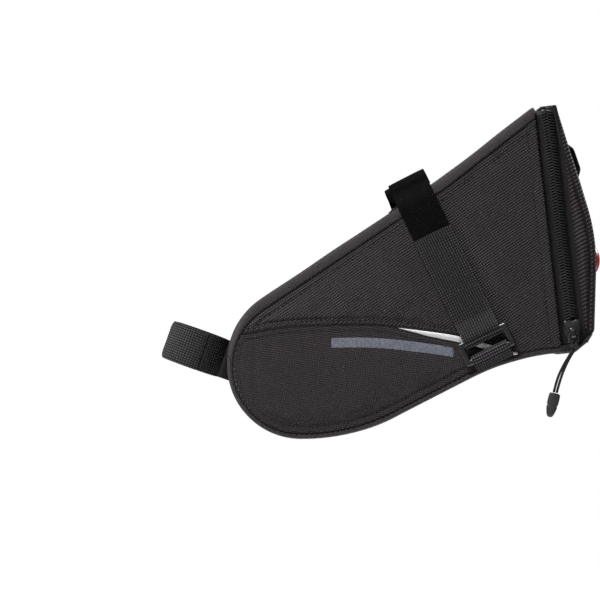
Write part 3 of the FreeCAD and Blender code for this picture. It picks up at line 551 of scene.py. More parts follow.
def calmed(mesh, moved, rounds):
    """Each point's move averaged with its neighbours'."""
    edges = np.zeros(len(mesh.edges) * 2, np.int32)
    mesh.edges.foreach_get("vertices", edges)
    a, b = edges.reshape(-1, 2).T
    count = np.bincount(np.concatenate([a, b]), minlength=len(moved)).astype(float)
    for _ in range(rounds):
        total = np.zeros_like(moved)
        np.add.at(total, a, moved[b])
        np.add.at(total, b, moved[a])
        moved = 0.5 * moved + 0.5 * total / np.maximum(count, 1)[:, None]
    return moved


def soft_step(value, low, high):
    t = np.clip((value - low) / (high - low), 0, 1)
    return t * t * (3 - 2 * t)


def ripple(points, size, seed):
    """Smooth noise from -1 to 1 at each point."""
    return np.array([noise.noise(Vector(p) / size + Vector((seed, seed * 0.7, 0)))
                     for p in points])


# ------------------------------------------------------------------ side panels


def strap_clear(x, z):
    """0 under the rail strap and 1 well away from it."""
    y = -half_width(x, z)
    across = ((x - LEFT_RAIL.x) * ALONG.x + (y - LEFT_RAIL.y) * ALONG.y
              + (z - LEFT_RAIL.z) * ALONG.z)
    return soft_step(np.abs(across), STRAP_HALF + 0.5 * MM, STRAP_HALF + 11 * MM)


def side_surface(plane, border, puff):
    """Points of the left side's cloth over points of the middle plane."""
    x, z = plane[:, 0], plane[:, 1]
    border_gap = distance_to(plane, border)
    sew = sizes()
    roll = -sew.seam_roll * (1 - np.sqrt(np.clip(
        1 - (1 - np.clip(border_gap / sew.seam_reach, 0, 1)) ** 2, 0, 1)))
    crown = puff * (1 - np.exp(-np.maximum(border_gap - sew.stitch_inset, 0) / (9 * MM)))
    groove = -0.35 * MM * np.exp(-((border_gap - sew.stitch_inset) / (0.8 * MM)) ** 2)
    rim_depth = RIM_EDGE - ((x - HINGE.x) * BACK.x + (z - HINGE.z) * BACK.z)
    hem = 0.35 * MM * soft_step(rim_depth, 5.6 * MM, 5.0 * MM)
    hem_roll = -0.4 * MM * (1 - soft_step(rim_depth, 0, 1.2 * MM))
    rim_fade = soft_step(rim_depth, 2 * MM, 22 * MM)
    flat = np.stack([x, np.zeros_like(x), z], 1)
    waves = 0.5 * MM * ripple(flat, 24 * MM, 3.1) * soft_step(border_gap, 3 * MM, 14 * MM)
    pucker = 0.2 * MM * ripple(flat, 3.4 * MM, 7.7) * np.exp(
        -((border_gap - sew.stitch_inset) / (2.4 * MM)) ** 2)
    fold = 0.45 * MM * np.exp(-((x + 78.5 * MM + 0.05 * (z + 0.1)) / (2.6 * MM)) ** 2)
    fold *= soft_step(border_gap, 2 * MM, 10 * MM)
    clear = strap_clear(x, z)
    out = roll + (crown * rim_fade + waves - fold) * clear + groove + pucker + hem + hem_roll
    out = np.where(clear < 0.02, np.minimum(out, 0.0), out)
    base = np.stack([x, -half_width(x, z), z], 1)
    return base - np.array(INWARD)[None] * out[:, None]


def ruled_plane(top, bottom, steps_along, steps_down):
    """A net of plane points between two lines that share their left ends."""
    high = resample(top, steps_along)
    low = resample(bottom, steps_along)
    share = np.linspace(0, 1, steps_down + 1)
    share = 0.5 - 0.5 * np.cos(share * math.pi) * (0.75 + 0.25 * np.abs(np.cos(share * math.pi)))
    share = (share - share[0]) / (share[-1] - share[0])
    return high[:, None, :] * (1 - share[None, :, None]) + low[:, None, :] * share[None, :, None]


def side_patch(name, top, bottom, puff, below, steps):
    """One panel of the left side, between the line above it and the line below it."""
    net = ruled_plane(top, bottom, *steps)
    border = np.vstack([top, bottom[::-1]]) if below else np.vstack([top[::-1], bottom])
    points = side_surface(net.reshape(-1, 2), border, puff)
    return grid_mesh(name, points.reshape(*net.shape[:2], 3), net), border


def upper_lines():
    top = SEWN[:NOSE_HIT + 1][::-1]
    seam = between(SEAM, NOSE_X, HEEL_HIT_X)
    return top, np.vstack([seam, SEWN[HEEL_HIT + 1:]])


def lower_lines():
    seam = between(SEAM, NOSE_X, WEDGE_TIP_X)
    top = np.vstack([seam, between(WEDGE_LOW, WEDGE_TIP_X, WEDGE_HIT_X)[1:]])
    return top, SEWN[NOSE_HIT:WEDGE_HIT + 1]


def wedge_lines():
    low = between(WEDGE_LOW, WEDGE_TIP_X, WEDGE_HIT_X)
    bottom = np.vstack([low, SEWN[WEDGE_HIT + 1:HEEL_HIT + 1]])
    return between(SEAM, WEDGE_TIP_X, HEEL_HIT_X), bottom


class SADDLEBAG_OT_side_panels(bpy.types.Operator):
    """Sew the upper and lower side panels and the reflective wedges"""

    bl_idname = "saddlebag.side_panels"
    bl_label = "Side Panels"

    def execute(self, context):
        puff = sizes().puff
        panels = [
            ("upper_side", upper_lines(), puff, upper_fabric(), "upper_weave",
             "upper_side_panel"),
            ("lower_side", lower_lines(), puff * 1.15, lower_fabric(), "lower_weave",
             "lower_side_panel"),
            ("wedge", wedge_lines(), 0.3 * MM, reflective_fabric(), "reflective",
             "reflective_wedge")]
        for name, lines, rise, material, slot, panel in panels:
            padded = name != "wedge"
            steps = (150, 60) if padded else (60, 16)
            mesh, border = side_patch("left_" + name, *lines, rise, name != "upper_side", steps)
            left = link("left_" + name, mesh, material)
            if padded:
                settle(left, self.held(coordinates(mesh), border), 1.5, 0.012, 1.1 * MM)
            thicken(left)
            right = mirrored(left, "right_" + name)
            for piece, side in ((left, "left_"), (right, "right_")):
                sewn_on(piece, "bag", slot, side + panel)
        return {"FINISHED"}

    def held(self, at, border):
        """How far each point is held by the seams, the strap and the rim: 1 is fast."""
        gap = distance_to(at[:, [0, 2]], border)
        under = 1 - strap_clear(at[:, 0], at[:, 2])
        depth = RIM_EDGE - ((at[:, 0] - HINGE.x) * BACK.x + (at[:, 2] - HINGE.z) * BACK.z)
        return np.clip(1 - soft_step(gap, 4 * MM, 7 * MM) + soft_step(under, 0.6, 0.9)
                       + 1 - soft_step(depth, 7 * MM, 10 * MM), 0, 1)


class SADDLEBAG_OT_side_print(bpy.types.Operator):
    """Print one plain grey-blue band on each lower side panel"""

    bl_idname = "saddlebag.side_print"
    bl_label = "Side Print"

    def execute(self, context):
        panel = bpy.data.objects["left_lower_side"].data
        cloth = BVHTree.FromPolygons([vertex.co for vertex in panel.vertices],
                                     [tuple(face.vertices) for face in panel.polygons])
        start, end, drop, width = -40, 22, 6.5, 5.0
        x = np.linspace(start, end, 25) * MM
        upper = np.interp(x, SEAM[:, 0], SEAM[:, 1]) - drop * MM
        net = ruled_plane(np.stack([x, upper], 1), np.stack([x, upper - width * MM], 1), 70, 12)
        points = []
        for u, w in net.reshape(-1, 2):
            place, normal, _, _ = cloth.ray_cast(Vector((u, -60 * MM, w)), Vector((0, 1, 0)))
            if place is None:
                raise RuntimeError("the print must lie on the lower panel")
            normal = normal if normal.y < 0 else -normal
            points.append(place + normal * 0.10 * MM)
        grid = np.array([tuple(p) for p in points]).reshape(*net.shape[:2], 3)
        left = link("left_print", grid_mesh("print", grid, net), print_ink())
        thicken(left, 0.08 * MM)
        right = mirrored(left, "right_print")
        sewn_on(left, "bag", "lower_weave")
        sewn_on(right, "bag", "lower_weave")
        return {"FINISHED"}


# ------------------------------------------------------------------ wrapped panels


def edge_place(reach, radius, share):
    """Inset and drop of a rounded long edge, a share of the way from the seam to the top."""
    arc = math.pi / 2 if reach >= radius else math.pi / 2 - math.asin(1 - reach / radius)
    flat = max(reach - radius, 0.0)
    way = share * (flat + radius * arc)
    if way < flat:
        return reach - way, 0.0
    angle = math.pi / 2 - arc + (way - flat) / radius
    return radius * (1 - math.sin(angle)), radius * (1 - math.cos(angle))


def crowned(edge, inwards, y, half_top, crown):
    """A point of a wrapped panel between its rounded edges, a little proud and uneven."""
    flat = max(0.0, 1 - (y / half_top) ** 2)
    uneven = noise.noise(Vector((edge[0], y, edge[1])) / 0.030) * min(1.0, 6 * flat)
    place = edge - inwards * (crown * flat + 0.55 * MM * uneven)
    return place[0], y, place[1]


def wrapped_sheet(outer, sewn, half_widths, radius, crown, roll):
    """Cloth from one seam over both long edges to the other: points and cloth metres."""
    edge_steps, top_steps = 14, 36
    run = np.concatenate([[0], np.cumsum(np.linalg.norm(np.diff(outer, axis=0), axis=1))])
    rows = []
    metres = []
    sew = sizes()
    for i in range(len(outer)):
        inwards = sewn[i] - outer[i]
        reach = float(np.linalg.norm(inwards))
        inwards = inwards / max(reach, 1e-9)
        row = []
        way = []
        for side in (-1, 1):
            shares = np.linspace(0, 1, edge_steps + 1)
            half_row = []
            for share in shares:
                inset, drop = edge_place(reach, radius, share)
                place = outer[i] + inwards * inset
                half = half_widths(*place) - drop
                seam_gap = share * (reach + radius * 0.57)
                dip = sew.seam_roll * (1 - math.sqrt(max(
                    0.0, 1 - (1 - min(seam_gap / (1.6 * MM), 1)) ** 2)))
                bulge = roll * math.sin(math.pi * min(share * 1.3, 1))
                angle = share * math.pi / 2
                place = place + inwards * (-bulge * math.sin(angle))
                half += bulge * math.cos(angle) - dip
                half_row.append((place[0], side * half, place[1]))
            half_top = half_widths(*outer[i]) - radius
            if side < 0:
                row.extend(half_row)
                way.extend(share * (reach + radius) - half_top - reach - radius for share in shares)
                for k in range(1, top_steps):
                    y = -half_top + 2 * half_top * k / top_steps
                    row.append(crowned(outer[i], inwards, y, half_top, crown))
                    way.append(y)
            else:
                row.extend(half_row[::-1])
                way.extend(half_top + reach + radius - share * (reach + radius)
                           for share in shares[::-1])
        rows.append(row)
        metres.append([(w, run[i]) for w in way])
    return np.array(rows), np.array(metres)


class SADDLEBAG_OT_wrapped_panels(bpy.types.Operator):
    """Sew the top and belly panels, which wrap over the long edges"""

    bl_idname = "saddlebag.wrapped_panels"
    bl_label = "Top and Belly Panels"

    def execute(self, context):
        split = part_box("top_panel")[0].z
        join = int(np.where((OUTER[:, 1] < split) & (OUTER[:, 0] < 0))[0][0])
        material = wrap_fabric()
        stretches = [("top", 0, join + 1, "top_panel"), ("belly", join, len(OUTER), "belly_panel")]
        for name, start, end, panel in stretches:
            radius, roll = (TOP_ROUND, 0.35 * MM) if name == "top" else (2.6 * MM, 0.12 * MM)
            points, metres = wrapped_sheet(OUTER[start:end], SEWN[start:end], half_width,
                                           radius, PANEL_CROWN, roll)
            piece = thicken(link(name, grid_mesh(name, points, metres), material))
            sewn_on(piece, "bag", "wrap_fabric", panel)
        return {"FINISHED"}


# ------------------------------------------------------------------ lid


def lid_corners(apex=20.2):
    """The lid's side outline, depth behind the hinge and height, from its top front round."""
    return scaled([(3.7, 125.2, 0), (5.1, 125.2, 1.2), (apex, 56.3, 100), (11.4, 7.4, 3.0),
                   (8, 7.4, 0)])


def lid_place(points):
    """Depth behind the hinge line, y and height above it as places in the shared frame."""
    return (np.array(HINGE) + points[..., :1] * np.array(BACK)
            + points[..., 1:2] * np.array((0, 1.0, 0)) + points[..., 2:3] * np.array(UP))


def lid_front(height):
    """Depth of the lid's front edge, which closes on the zip towards its top."""
    neck = np.clip((height - 88 * MM) / (37.2 * MM), 0, 1)
    return 6.6 * MM - 2.9 * MM * neck ** 1.3


class SADDLEBAG_OT_lid_shell(bpy.types.Operator):
    """Sew the lid from its ribbed back and two gussets"""

    bl_idname = "saddlebag.lid_shell"
    bl_label = "Lid Shell"

    def execute(self, context):
        corners = lid_corners(18.4)
        pieces = runs(corners)
        counts = counts_for(pieces, 1.5 * MM)
        outer = trace(pieces, counts)
        inner = trace(runs(offset_outline(
            corners, [-0.6 * MM, -LID_WRAP, -LID_WRAP, -0.9 * MM], closed=False)), counts)
        inner[:, 0] = np.maximum(inner[:, 0], np.minimum(lid_front(outer[:, 1]),
                                                         outer[:, 0] - 0.2 * MM))
        points, metres = wrapped_sheet(outer, inner, lambda n, w: LID_HALF, LID_ROUND,
                                       1.9 * MM, 0.3 * MM)
        mesh = grid_mesh("lid_back", lid_place(points), metres, flip=True)
        material = ribbed_fabric()
        back = thicken(link("lid_back", mesh, material))
        sewn_on(back, "lid", "ribbed_fabric", "lid_back_panel")
        self.gussets(inner, material)
        line = resample(inner[inner[:, 1] > 3 * MM], 110)
        tubes = []
        for side in (-1, 1):
            points = np.stack([line[:, 0], np.full(len(line), side * (LID_HALF - 1.7 * MM)),
                               line[:, 1]], 1)
            tubes.append(wire_mesh("binding", lid_place(points), 1.4 * MM, 8, BINDING_ACROSS))
        sewn_on(joined("lid_binding", tubes, binding_tape()), "lid", "ribbed_fabric")
        return {"FINISHED"}

    def gussets(self, inner, material):
        """The flat sides of the lid, from the zip's tape to the back's seam."""
        high = inner[inner[:, 1] > 9 * MM]
        back = resample(high[np.argsort(high[:, 1])], 90)
        front = np.stack([np.minimum(lid_front(back[:, 1]), back[:, 0] - 0.3 * MM), back[:, 1]],
                         1)
        share = np.linspace(0, 1, 15)
        net = front[:, None] * (1 - share[None, :, None]) + back[:, None] * share[None, :, None]
        depth = np.linalg.norm(back - front, axis=1)[:, None]
        gap = np.minimum(share[None] * depth, (1 - share[None]) * depth)
        puff = 0.9 * MM * (1 - np.exp(-gap / (2.4 * MM))) - 1.1 * MM * np.exp(-gap / (0.7 * MM))
        folds = np.array([[noise.noise(Vector((n * 60, w * 130 + n * 90, 2.3)))
                           for n, w in row] for row in net])
        y = -(LID_HALF + puff + 0.9 * MM * folds * np.clip(gap / (3 * MM), 0, 1))
        placed = lid_place(np.stack([net[..., 0], y, net[..., 1]], 2))
        mesh = grid_mesh("lid_gusset", placed, net)
        left = thicken(link("left_gusset", mesh, material), 1.2 * MM)
        right = mirrored(left, "right_gusset")
        sewn_on(left, "lid", "ribbed_fabric", "left_lid_gusset")
        sewn_on(right, "lid", "ribbed_fabric", "right_lid_gusset")


class SADDLEBAG_OT_seam_binding(bpy.types.Operator):
    """Bind the seams inside the bag, so that no light comes through them"""

    bl_idname = "saddlebag.seam_binding"
    bl_label = "Seam Binding"

    def execute(self, context):
        seams = [(SEWN[2:-2], 1.9 * MM, 1.5 * MM),
                 (between(SEAM, NOSE_X + 2 * MM, HEEL_HIT_X - 2 * MM), 1.5 * MM, 1.2 * MM),
                 (between(WEDGE_LOW, WEDGE_TIP_X, WEDGE_HIT_X), 1.5 * MM, 1.2 * MM)]
        tubes = []
        for line, depth, radius in seams:
            for side in (-1, 1):
                centre = [(x, side * (float(half_width(x, z)) - depth), z) for x, z in line]
                tubes.append(wire_mesh("binding", centre, radius, 8, BINDING_ACROSS))
        sewn_on(joined("seam_binding", tubes, binding_tape()), "bag", "wrap_fabric")
        return {"FINISHED"}


class SADDLEBAG_OT_hinge_cover(bpy.types.Operator):
    """Sew the hinge fabric, which bends between the bag and its lid"""

    bl_idname = "saddlebag.hinge_cover"
    bl_label = "Hinge Cover"

    def execute(self, context):
        line = path_of(scaled([(-8.4, 0.2, 0), (0.4, 0.1, 3), (7.2, 4.6, 4), (9.6, 7.6, 0)]),
                       0.5 * MM)
        half = 41 * MM
        across = np.linspace(-half, half, 83)
        over = np.maximum(0, abs(across) - (LID_HALF - LID_ROUND))
        lift = LID_ROUND - np.sqrt(LID_ROUND ** 2 - over ** 2)
        rows = []
        metres = []
        run = np.concatenate([[0], np.cumsum(np.linalg.norm(np.diff(line, axis=0), axis=1))])
        for (depth, height), way in zip(line, run):
            sag = 0.35 * MM * noise.noise(Vector((depth * 90, 0, height * 90)))
            rows.append([(depth, y, height + up + sag * math.cos(y / half * 1.5))
                         for y, up in zip(across, lift)])
            metres.append([(y, way) for y in across])
        mesh = grid_mesh("hinge_cover", lid_place(np.array(rows)), np.array(metres), flip=True)
        cover = thicken(link("hinge_cover", mesh, wrap_fabric()), 0.9 * MM)
        view = bpy.context.evaluated_depsgraph_get()
        solid = bpy.data.meshes.new_from_object(cover.evaluated_get(view))
        tidy(solid, outwards=True)
        cover.modifiers.clear()
        cover.data = solid
        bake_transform(cover)
        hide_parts("hinge_strip", "hinge_flap")
        return {"FINISHED"}


# ------------------------------------------------------------------ webbing


def webbing_mesh(name, path, across, width, thickness, ribs=1.0, round_end=0.0):
    """Webbing swept along 3D points, ribbed on both faces, with round selvedges."""
    sew = sizes()
    reach = np.concatenate([[0], np.cumsum(np.linalg.norm(np.diff(path, axis=0), axis=1))])
    rib_count = max(3, round(reach[-1] / sew.rib_step))
    count = rib_count * (8 if ribs else 3)
    points = resample(path, count)
    way = np.linspace(0, reach[-1], count + 1)
    tangent = np.gradient(points, axis=0)
    tangent /= np.linalg.norm(tangent, axis=1)[:, None]
    across = np.array(across) / np.linalg.norm(across)
    normal = np.cross(tangent, across[None])
    face_steps = 26
    lanes = np.linspace(-1, 1, face_steps + 1)
    ring = [(u, 1) for u in lanes] + [(1, 0.45), (1, -0.45)]
    ring += [(u, -1) for u in lanes[::-1]] + [(-1, -0.45), (-1, 0.45)]
    grid = np.zeros((count + 1, len(ring), 3))
    metres = np.zeros((count + 1, len(ring), 2))
    rib = np.abs(np.sin(math.pi * rib_count * np.linspace(0, 1, count + 1))) ** 1.2
    for j, (u, v) in enumerate(ring):
        half = np.full(count + 1, width / 2)
        if round_end:
            tip = np.clip(round_end - (reach[-1] - way), 0, round_end * 0.995)
            half = half - round_end + np.sqrt(round_end ** 2 - tip ** 2)
        edge = abs(u) ** 8
        lane = 0.5 + 0.5 * math.cos(u * width / (1.25 * MM) * math.pi)
        lift = ribs * sew.rib_height * ((1 - edge) * rib * (0.7 + 0.3 * lane) + 0.6 * edge)
        wave = 0.12 * MM * np.sin(way / (17 * MM) + 1.3 * u)
        rise = v * (thickness / 2 * (1 - 0.25 * edge) + lift - ribs * sew.rib_height)
        side = u * half + (0.12 * MM * np.sign(u) * (abs(u) > 0.99) * (rib - 0.5) * ribs)
        grid[:, j] = points + across[None] * side[:, None] + normal * (rise + wave)[:, None]
        metres[:, j, 0] = side + (0 if v > 0 else width * 1.2)
        metres[:, j, 1] = np.linspace(0, rib_count * sew.rib_step, count + 1)
    mesh = grid_mesh(name, grid, metres, wrap=True)
    work = bmesh.new()
    work.from_mesh(mesh)
    open_edges = [edge for edge in work.edges if edge.is_boundary]
    bmesh.ops.holes_fill(work, edges=open_edges, sides=0)
    bmesh.ops.recalc_face_normals(work, faces=work.faces)
    work.to_mesh(mesh)
    work.free()
    shade_smooth(mesh, 60)
    return mesh


def strap_levels():
    """Distances of the strap's layers from the rail, across the bag's side."""
    side = (float(half_width(0.0, 0.0)) + LEFT_RAIL.y) * math.cos(TAPER)
    on_side = -(side + LAY + WEBBING / 2)
    over = on_side - WEBBING / 2 - LAY - 2.2 * MM - LAY - WEBBING / 2
    return on_side, over


def strap_path(corners):
    """A path in the strap's own plane as places in the shared frame."""
    flat = path_of(corners, 0.3 * MM)
    return (np.array(LEFT_RAIL)[None] + flat[:, :1] * np.array(INWARD)[None]
            + flat[:, 1:] * np.array(STRAP_UP)[None])


def both_sides(name, mesh, material, bodies, part):
    """A piece of the left rail strap and its mirror on the right."""
    left = link("left_" + name, mesh, material)
    right = mirrored(left, "right_" + name)
    sewn_on(left, bodies[0], "webbing", "left_" + part)
    sewn_on(right, bodies[1], "webbing", "right_" + part)


class SADDLEBAG_OT_rail_straps(bpy.types.Operator):
    """Fold the straps over the saddle rails and through their buckles"""

    bl_idname = "saddlebag.rail_straps"
    bl_label = "Rail Straps"

    def execute(self, context):
        on_side, over = strap_levels()
        rail = 3.5 * MM + WEBBING / 2
        top, foot = -87.0 * MM, -93.6 * MM
        fold = top - LAY - WEBBING / 2
        turn = (on_side - over) / 2 * 0.98
        stub = -85.2 * MM
        on_strap = on_side - WEBBING - LAY
        strap = strap_path([
            (rail, -3.2 * MM, 0), (rail, rail, rail), (-rail, rail, rail),
            (-rail, -1.6 * MM, 6 * MM), (on_side, -8.4 * MM, 8 * MM), (on_side, fold, turn),
            (over, fold, turn), (over, stub, 0)])
        mesh = webbing_mesh("strap", strap, ALONG, 2 * STRAP_HALF, WEBBING, ribs=0.0)
        mesh.materials.append(loop_pile())
        mesh.materials.append(ribbed_webbing())
        ways = mesh.uv_layers[0].data
        end = max(way.uv.y for way in ways)
        for face in mesh.polygons:
            if ways[face.loop_start].uv.y > end - 8 * MM:
                face.material_index = 1
        both_sides("strap", mesh, loop_pile(), ("bag", "bag"), "rail_strap")
        root = stub + 0.3 * MM
        tail = strap_path([
            (over, root, 0), (over, root + 2 * MM, 3 * MM), (on_strap, root + 10 * MM, 6 * MM),
            (on_strap, -27.4 * MM, 0)])
        mesh = webbing_mesh("tail", tail, ALONG, 2 * STRAP_HALF, WEBBING)
        both_sides("tail", mesh, ribbed_webbing(), ("left_tail", "right_tail"), "strap_tail")
        tab_fold = foot + LAY + WEBBING / 2
        tab = strap_path([
            (on_side, -101 * MM, 0), (on_side, tab_fold, turn), (over, tab_fold, turn),
            (over, foot - 3.4 * MM, 3 * MM), (on_strap, -101 * MM, 0)])
        mesh = webbing_mesh("tab", tab, ALONG, 2 * STRAP_HALF, WEBBING, ribs=0.35)
        both_sides("tab", mesh, ribbed_webbing(), ("bag", "bag"), "buckle_tab")
        return {"FINISHED"}


def post_ring(radius, start, end, free=0.0):
    """Places on a circle round the seatpost, angles in degrees from the nose."""
    angles = np.radians(np.linspace(start, end, max(12, int(abs(end - start)))))
    flat = np.stack([radius * np.cos(angles), radius * np.sin(angles)], 1)
    if free:
        last = angles[-1]
        flat = np.vstack([flat, flat[-1] + free * np.array([math.sin(last), -math.cos(last)])])
    return (np.array(POST)[None] + flat[:, :1] * np.array(POST_AHEAD)[None]
            + flat[:, 1:] * np.array((0, 1.0, 0))[None])


class SADDLEBAG_OT_post_strap(bpy.types.Operator):
    """Close the strap round the seatpost"""

    bl_idname = "saddlebag.post_strap"
    bl_label = "Post Strap"

    def execute(self, context):
        inner = POST_RADIUS + POST_WEBBING / 2
        outer = inner + POST_WEBBING + LAY
        width = 20 * MM
        stretches = [
            ("post_inner", post_ring(inner, 6, 318), "bag", "post_strap_inner", 0.0, loop_pile()),
            ("post_outer", post_ring(outer, -12, -72), "bag", "post_strap_outer", 0.0,
             ribbed_webbing()),
            ("post_tail", post_ring(outer, -74, -158, 5 * MM), "post_tail", "post_strap_tail",
             4 * MM, ribbed_webbing())]
        for name, path, body, part, round_end, material in stretches:
            ribs = 0.0 if name == "post_inner" else 0.8
            mesh = webbing_mesh(name, path, POST_UP, width, POST_WEBBING, ribs, round_end)
            sewn_on(link(name, mesh, material), body, "webbing", part)
        return {"FINISHED"}


def back_level(height, out):
    """Depth and height of a point a little out from the lid's back."""
    corners = lid_corners()
    low, apex, high = Vector(corners[3][:2]), Vector(corners[2][:2]), Vector(corners[1][:2])
    start, end = (low, apex) if height < apex.y else (apex, high)
    along = (end - start).normalized()
    point = start + along * ((height - start.y) / along.y)
    return point + Vector((along.y, -along.x)) * out


class SADDLEBAG_OT_light_loop(bpy.types.Operator):
    """Sew the loop for a clip-on light to the lid"""

    bl_idname = "saddlebag.light_loop"
    bl_label = "Light Loop"

    def execute(self, context):
        seat = 0.2 * MM + WEBBING / 2 + 1.2 * MM
        proud = seat + 3.0 * MM
        steps = [(111, seat, 0), (106.5, seat, 4), (102.5, proud, 4), (91.5, proud, 4),
                 (87.5, seat, 4), (83, seat, 0)]
        corners = [(*back_level(height * MM, out), radius * MM) for height, out, radius in steps]
        flat = path_of(corners, 0.3 * MM)
        points = lid_place(np.stack([flat[:, 0], np.zeros(len(flat)), flat[:, 1]], 1))
        mesh = webbing_mesh("light_loop_band", points, (0, 1, 0), 16 * MM, WEBBING, ribs=0.8)
        sewn_on(link("light_loop_band", mesh, ribbed_webbing()), "lid", "webbing", "light_loop")
        return {"FINISHED"}


def turned_mesh(name, profile, centre, axis):
    """A solid of revolution from (radius, height) pairs in millimetres, poles closed."""
    side = axis.orthogonal().normalized()
    other = axis.cross(side)
    rows = []
    angles = np.arange(72) * 2 * math.pi / 72
    for radius, height in profile:
        rows.append([tuple(centre + axis * height * MM
                           + (side * math.cos(a) + other * math.sin(a)) * radius * MM)
                     for a in angles])
    grid = np.array(rows)
    mesh = grid_mesh(name, grid, np.zeros((*grid.shape[:2], 2)), wrap=True)
    tidy(mesh, outwards=True)
    shade_smooth(mesh, 50)
    return mesh


class SADDLEBAG_OT_badge(bpy.types.Operator):
    """Mould the badge: a black rim round a domed red lens"""

    bl_idname = "saddlebag.badge"
    bl_label = "Badge"

    def execute(self, context):
        line = path_of(lid_corners(), 0.5 * MM)
        spot = int(np.argmin(np.abs(line[:, 1] - 45 * MM) + (line[:, 0] < 12 * MM)))
        along = line[spot + 1] - line[spot - 1]
        along = along / np.linalg.norm(along)
        axis = BACK * -along[1] + UP * along[0]
        centre = Vector(lid_place(np.array([[line[spot][0], 0.0, line[spot][1]]]))[0])
        centre -= axis * 0.3 * MM
        rim = [(0, 0), (7.8, 0), (8.3, 0.6), (8.3, 1.9), (7.9, 2.5), (7.3, 2.5), (7.1, 2.0),
               (0, 2.0)]
        lens = [(0, 1.6), (7.05, 1.6), (7.05, 2.3), (6.8, 3.0), (6.0, 3.9), (4.8, 4.6),
                (4.7, 4.5), (4.4, 4.5), (4.3, 4.8), (2.6, 5.3), (1.2, 5.5), (0, 5.55)]
        base = link("badge_rim", turned_mesh("badge_rim", rim, centre, axis), badge_rim())
        dome = link("badge_lens", turned_mesh("badge_lens", lens, centre, axis), badge_lens())
        sewn_on(base, "lid", "badge_black", "badge_base")
        sewn_on(dome, "lid", "badge_red", "badge_dome")
        return {"FINISHED"}


# ------------------------------------------------------------------ zip teeth and stitches


def wire_mesh(name, centre, radius, sides=6, across=(1.0, 0.13, 0.07)):
    """A closed tube along a short line of points."""
    line = np.array(centre)
    tangent = np.gradient(line, axis=0)
    tangent /= np.linalg.norm(tangent, axis=1)[:, None]
    rings = []
    across = np.array(across)
    for point, way in zip(line, tangent):
        u = across - way * across.dot(way)
        u /= np.linalg.norm(u)
        v = np.cross(way, u)
        angles = np.arange(sides) * 2 * math.pi / sides
        rings.append([point + radius * (math.cos(a) * u + math.sin(a) * v) for a in angles])
    grid = np.array(rings)
    verts = [tuple(p) for p in grid.reshape(-1, 3)]
    faces = []
    for i in range(len(line) - 1):
        for j in range(sides):
            k = (j + 1) % sides
            faces.append((i * sides + j, i * sides + k, (i + 1) * sides + k, (i + 1) * sides + j))
    faces.append(tuple(range(sides))[::-1])
    faces.append(tuple((len(line) - 1) * sides + j for j in range(sides)))
    mesh = bpy.data.meshes.new(name)
    mesh.from_pydata(verts, [], faces)
    tidy(mesh, outwards=True)
    return mesh


def line_object(name, lines):
    """Bare edges along one or more lines of points."""
    verts = []
    edges = []
    for line in lines:
        first = len(verts)
        verts.extend(tuple(p) for p in line)
        edges.extend((first + k, first + k + 1) for k in range(len(line) - 1))
    mesh = bpy.data.meshes.new(name)
    mesh.from_pydata(verts, edges, [])
    return link(name, mesh, None)


def row_tree():
    """Geometry nodes that set copies of one piece in a row along lines."""
    def build(tree, given):
        curve = node(tree, "GeometryNodeMeshToCurve", {0: given["Geometry"]})
        spaced = node(tree, "GeometryNodeResampleCurve",
                      {"Curve": curve.outputs[0], "Length": given["Step"]}, mode="LENGTH")
        side_up = node(tree, "FunctionNodeAlignRotationToVector", {"Vector": given["Side"]},
                       axis="Z")
        tangent = node(tree, "GeometryNodeInputTangent")
        along = node(tree, "FunctionNodeAlignRotationToVector",
                     {"Rotation": side_up.outputs[0], "Vector": tangent.outputs[0]},
                     axis="X", pivot_axis="Z")
        piece = node(tree, "GeometryNodeObjectInfo", {"Object": given["Piece"]})
        spread = node(tree, "FunctionNodeRandomValue",
                      {2: math_node(tree, "SUBTRACT", 1.0, given["Size spread"]),
                       3: math_node(tree, "ADD", 1.0, given["Size spread"]),
                       "Seed": given["Seed"]}, data_type="FLOAT")
        copies = node(tree, "GeometryNodeInstanceOnPoints",
                      {"Points": spaced.outputs[0], "Instance": piece.outputs["Geometry"],
                       "Rotation": along.outputs[0], "Scale": spread.outputs[1]})
        real = node(tree, "GeometryNodeRealizeInstances", {0: copies.outputs[0]})
        paint = node(tree, "GeometryNodeSetMaterial",
                     {"Geometry": real.outputs[0], "Material": given["Material"]})
        return [paint.outputs[0]]

    inputs = {"Geometry": "Geometry", "Piece": "Object", "Step": "Float", "Side": "Vector",
              "Size spread": "Float", "Seed": "Int", "Material": "Material"}
    return node_group("Row along a line", "GeometryNodeTree", inputs, {"Geometry": "Geometry"},
                      build)


def row_of(name, lines, copy_mesh, step, side, spread, seed, material):
    """A plain mesh of copies set along the lines, their z towards side."""
    holder = line_object(name, lines)
    pattern = link(name + "_copy", copy_mesh, material)
    modifier = holder.modifiers.new("Row", "NODES")
    tree = row_tree()
    modifier.node_group = tree
    values = {"Piece": pattern, "Step": step, "Side": tuple(side), "Size spread": spread,
              "Seed": seed, "Material": material}
    for item in tree.interface.items_tree:
        if item.in_out == "INPUT" and item.name in values:
            modifier[item.identifier] = values[item.name]
    bpy.context.view_layer.update()
    view = bpy.context.evaluated_depsgraph_get()
    mesh = bpy.data.meshes.new_from_object(holder.evaluated_get(view))
    bpy.data.objects.remove(holder)
    bpy.data.objects.remove(pattern)
    if not mesh.polygons:
        raise RuntimeError(f"{name} came out empty")
    mesh.name = name
    shade_smooth(mesh, 50)
    return link(name, mesh, material)


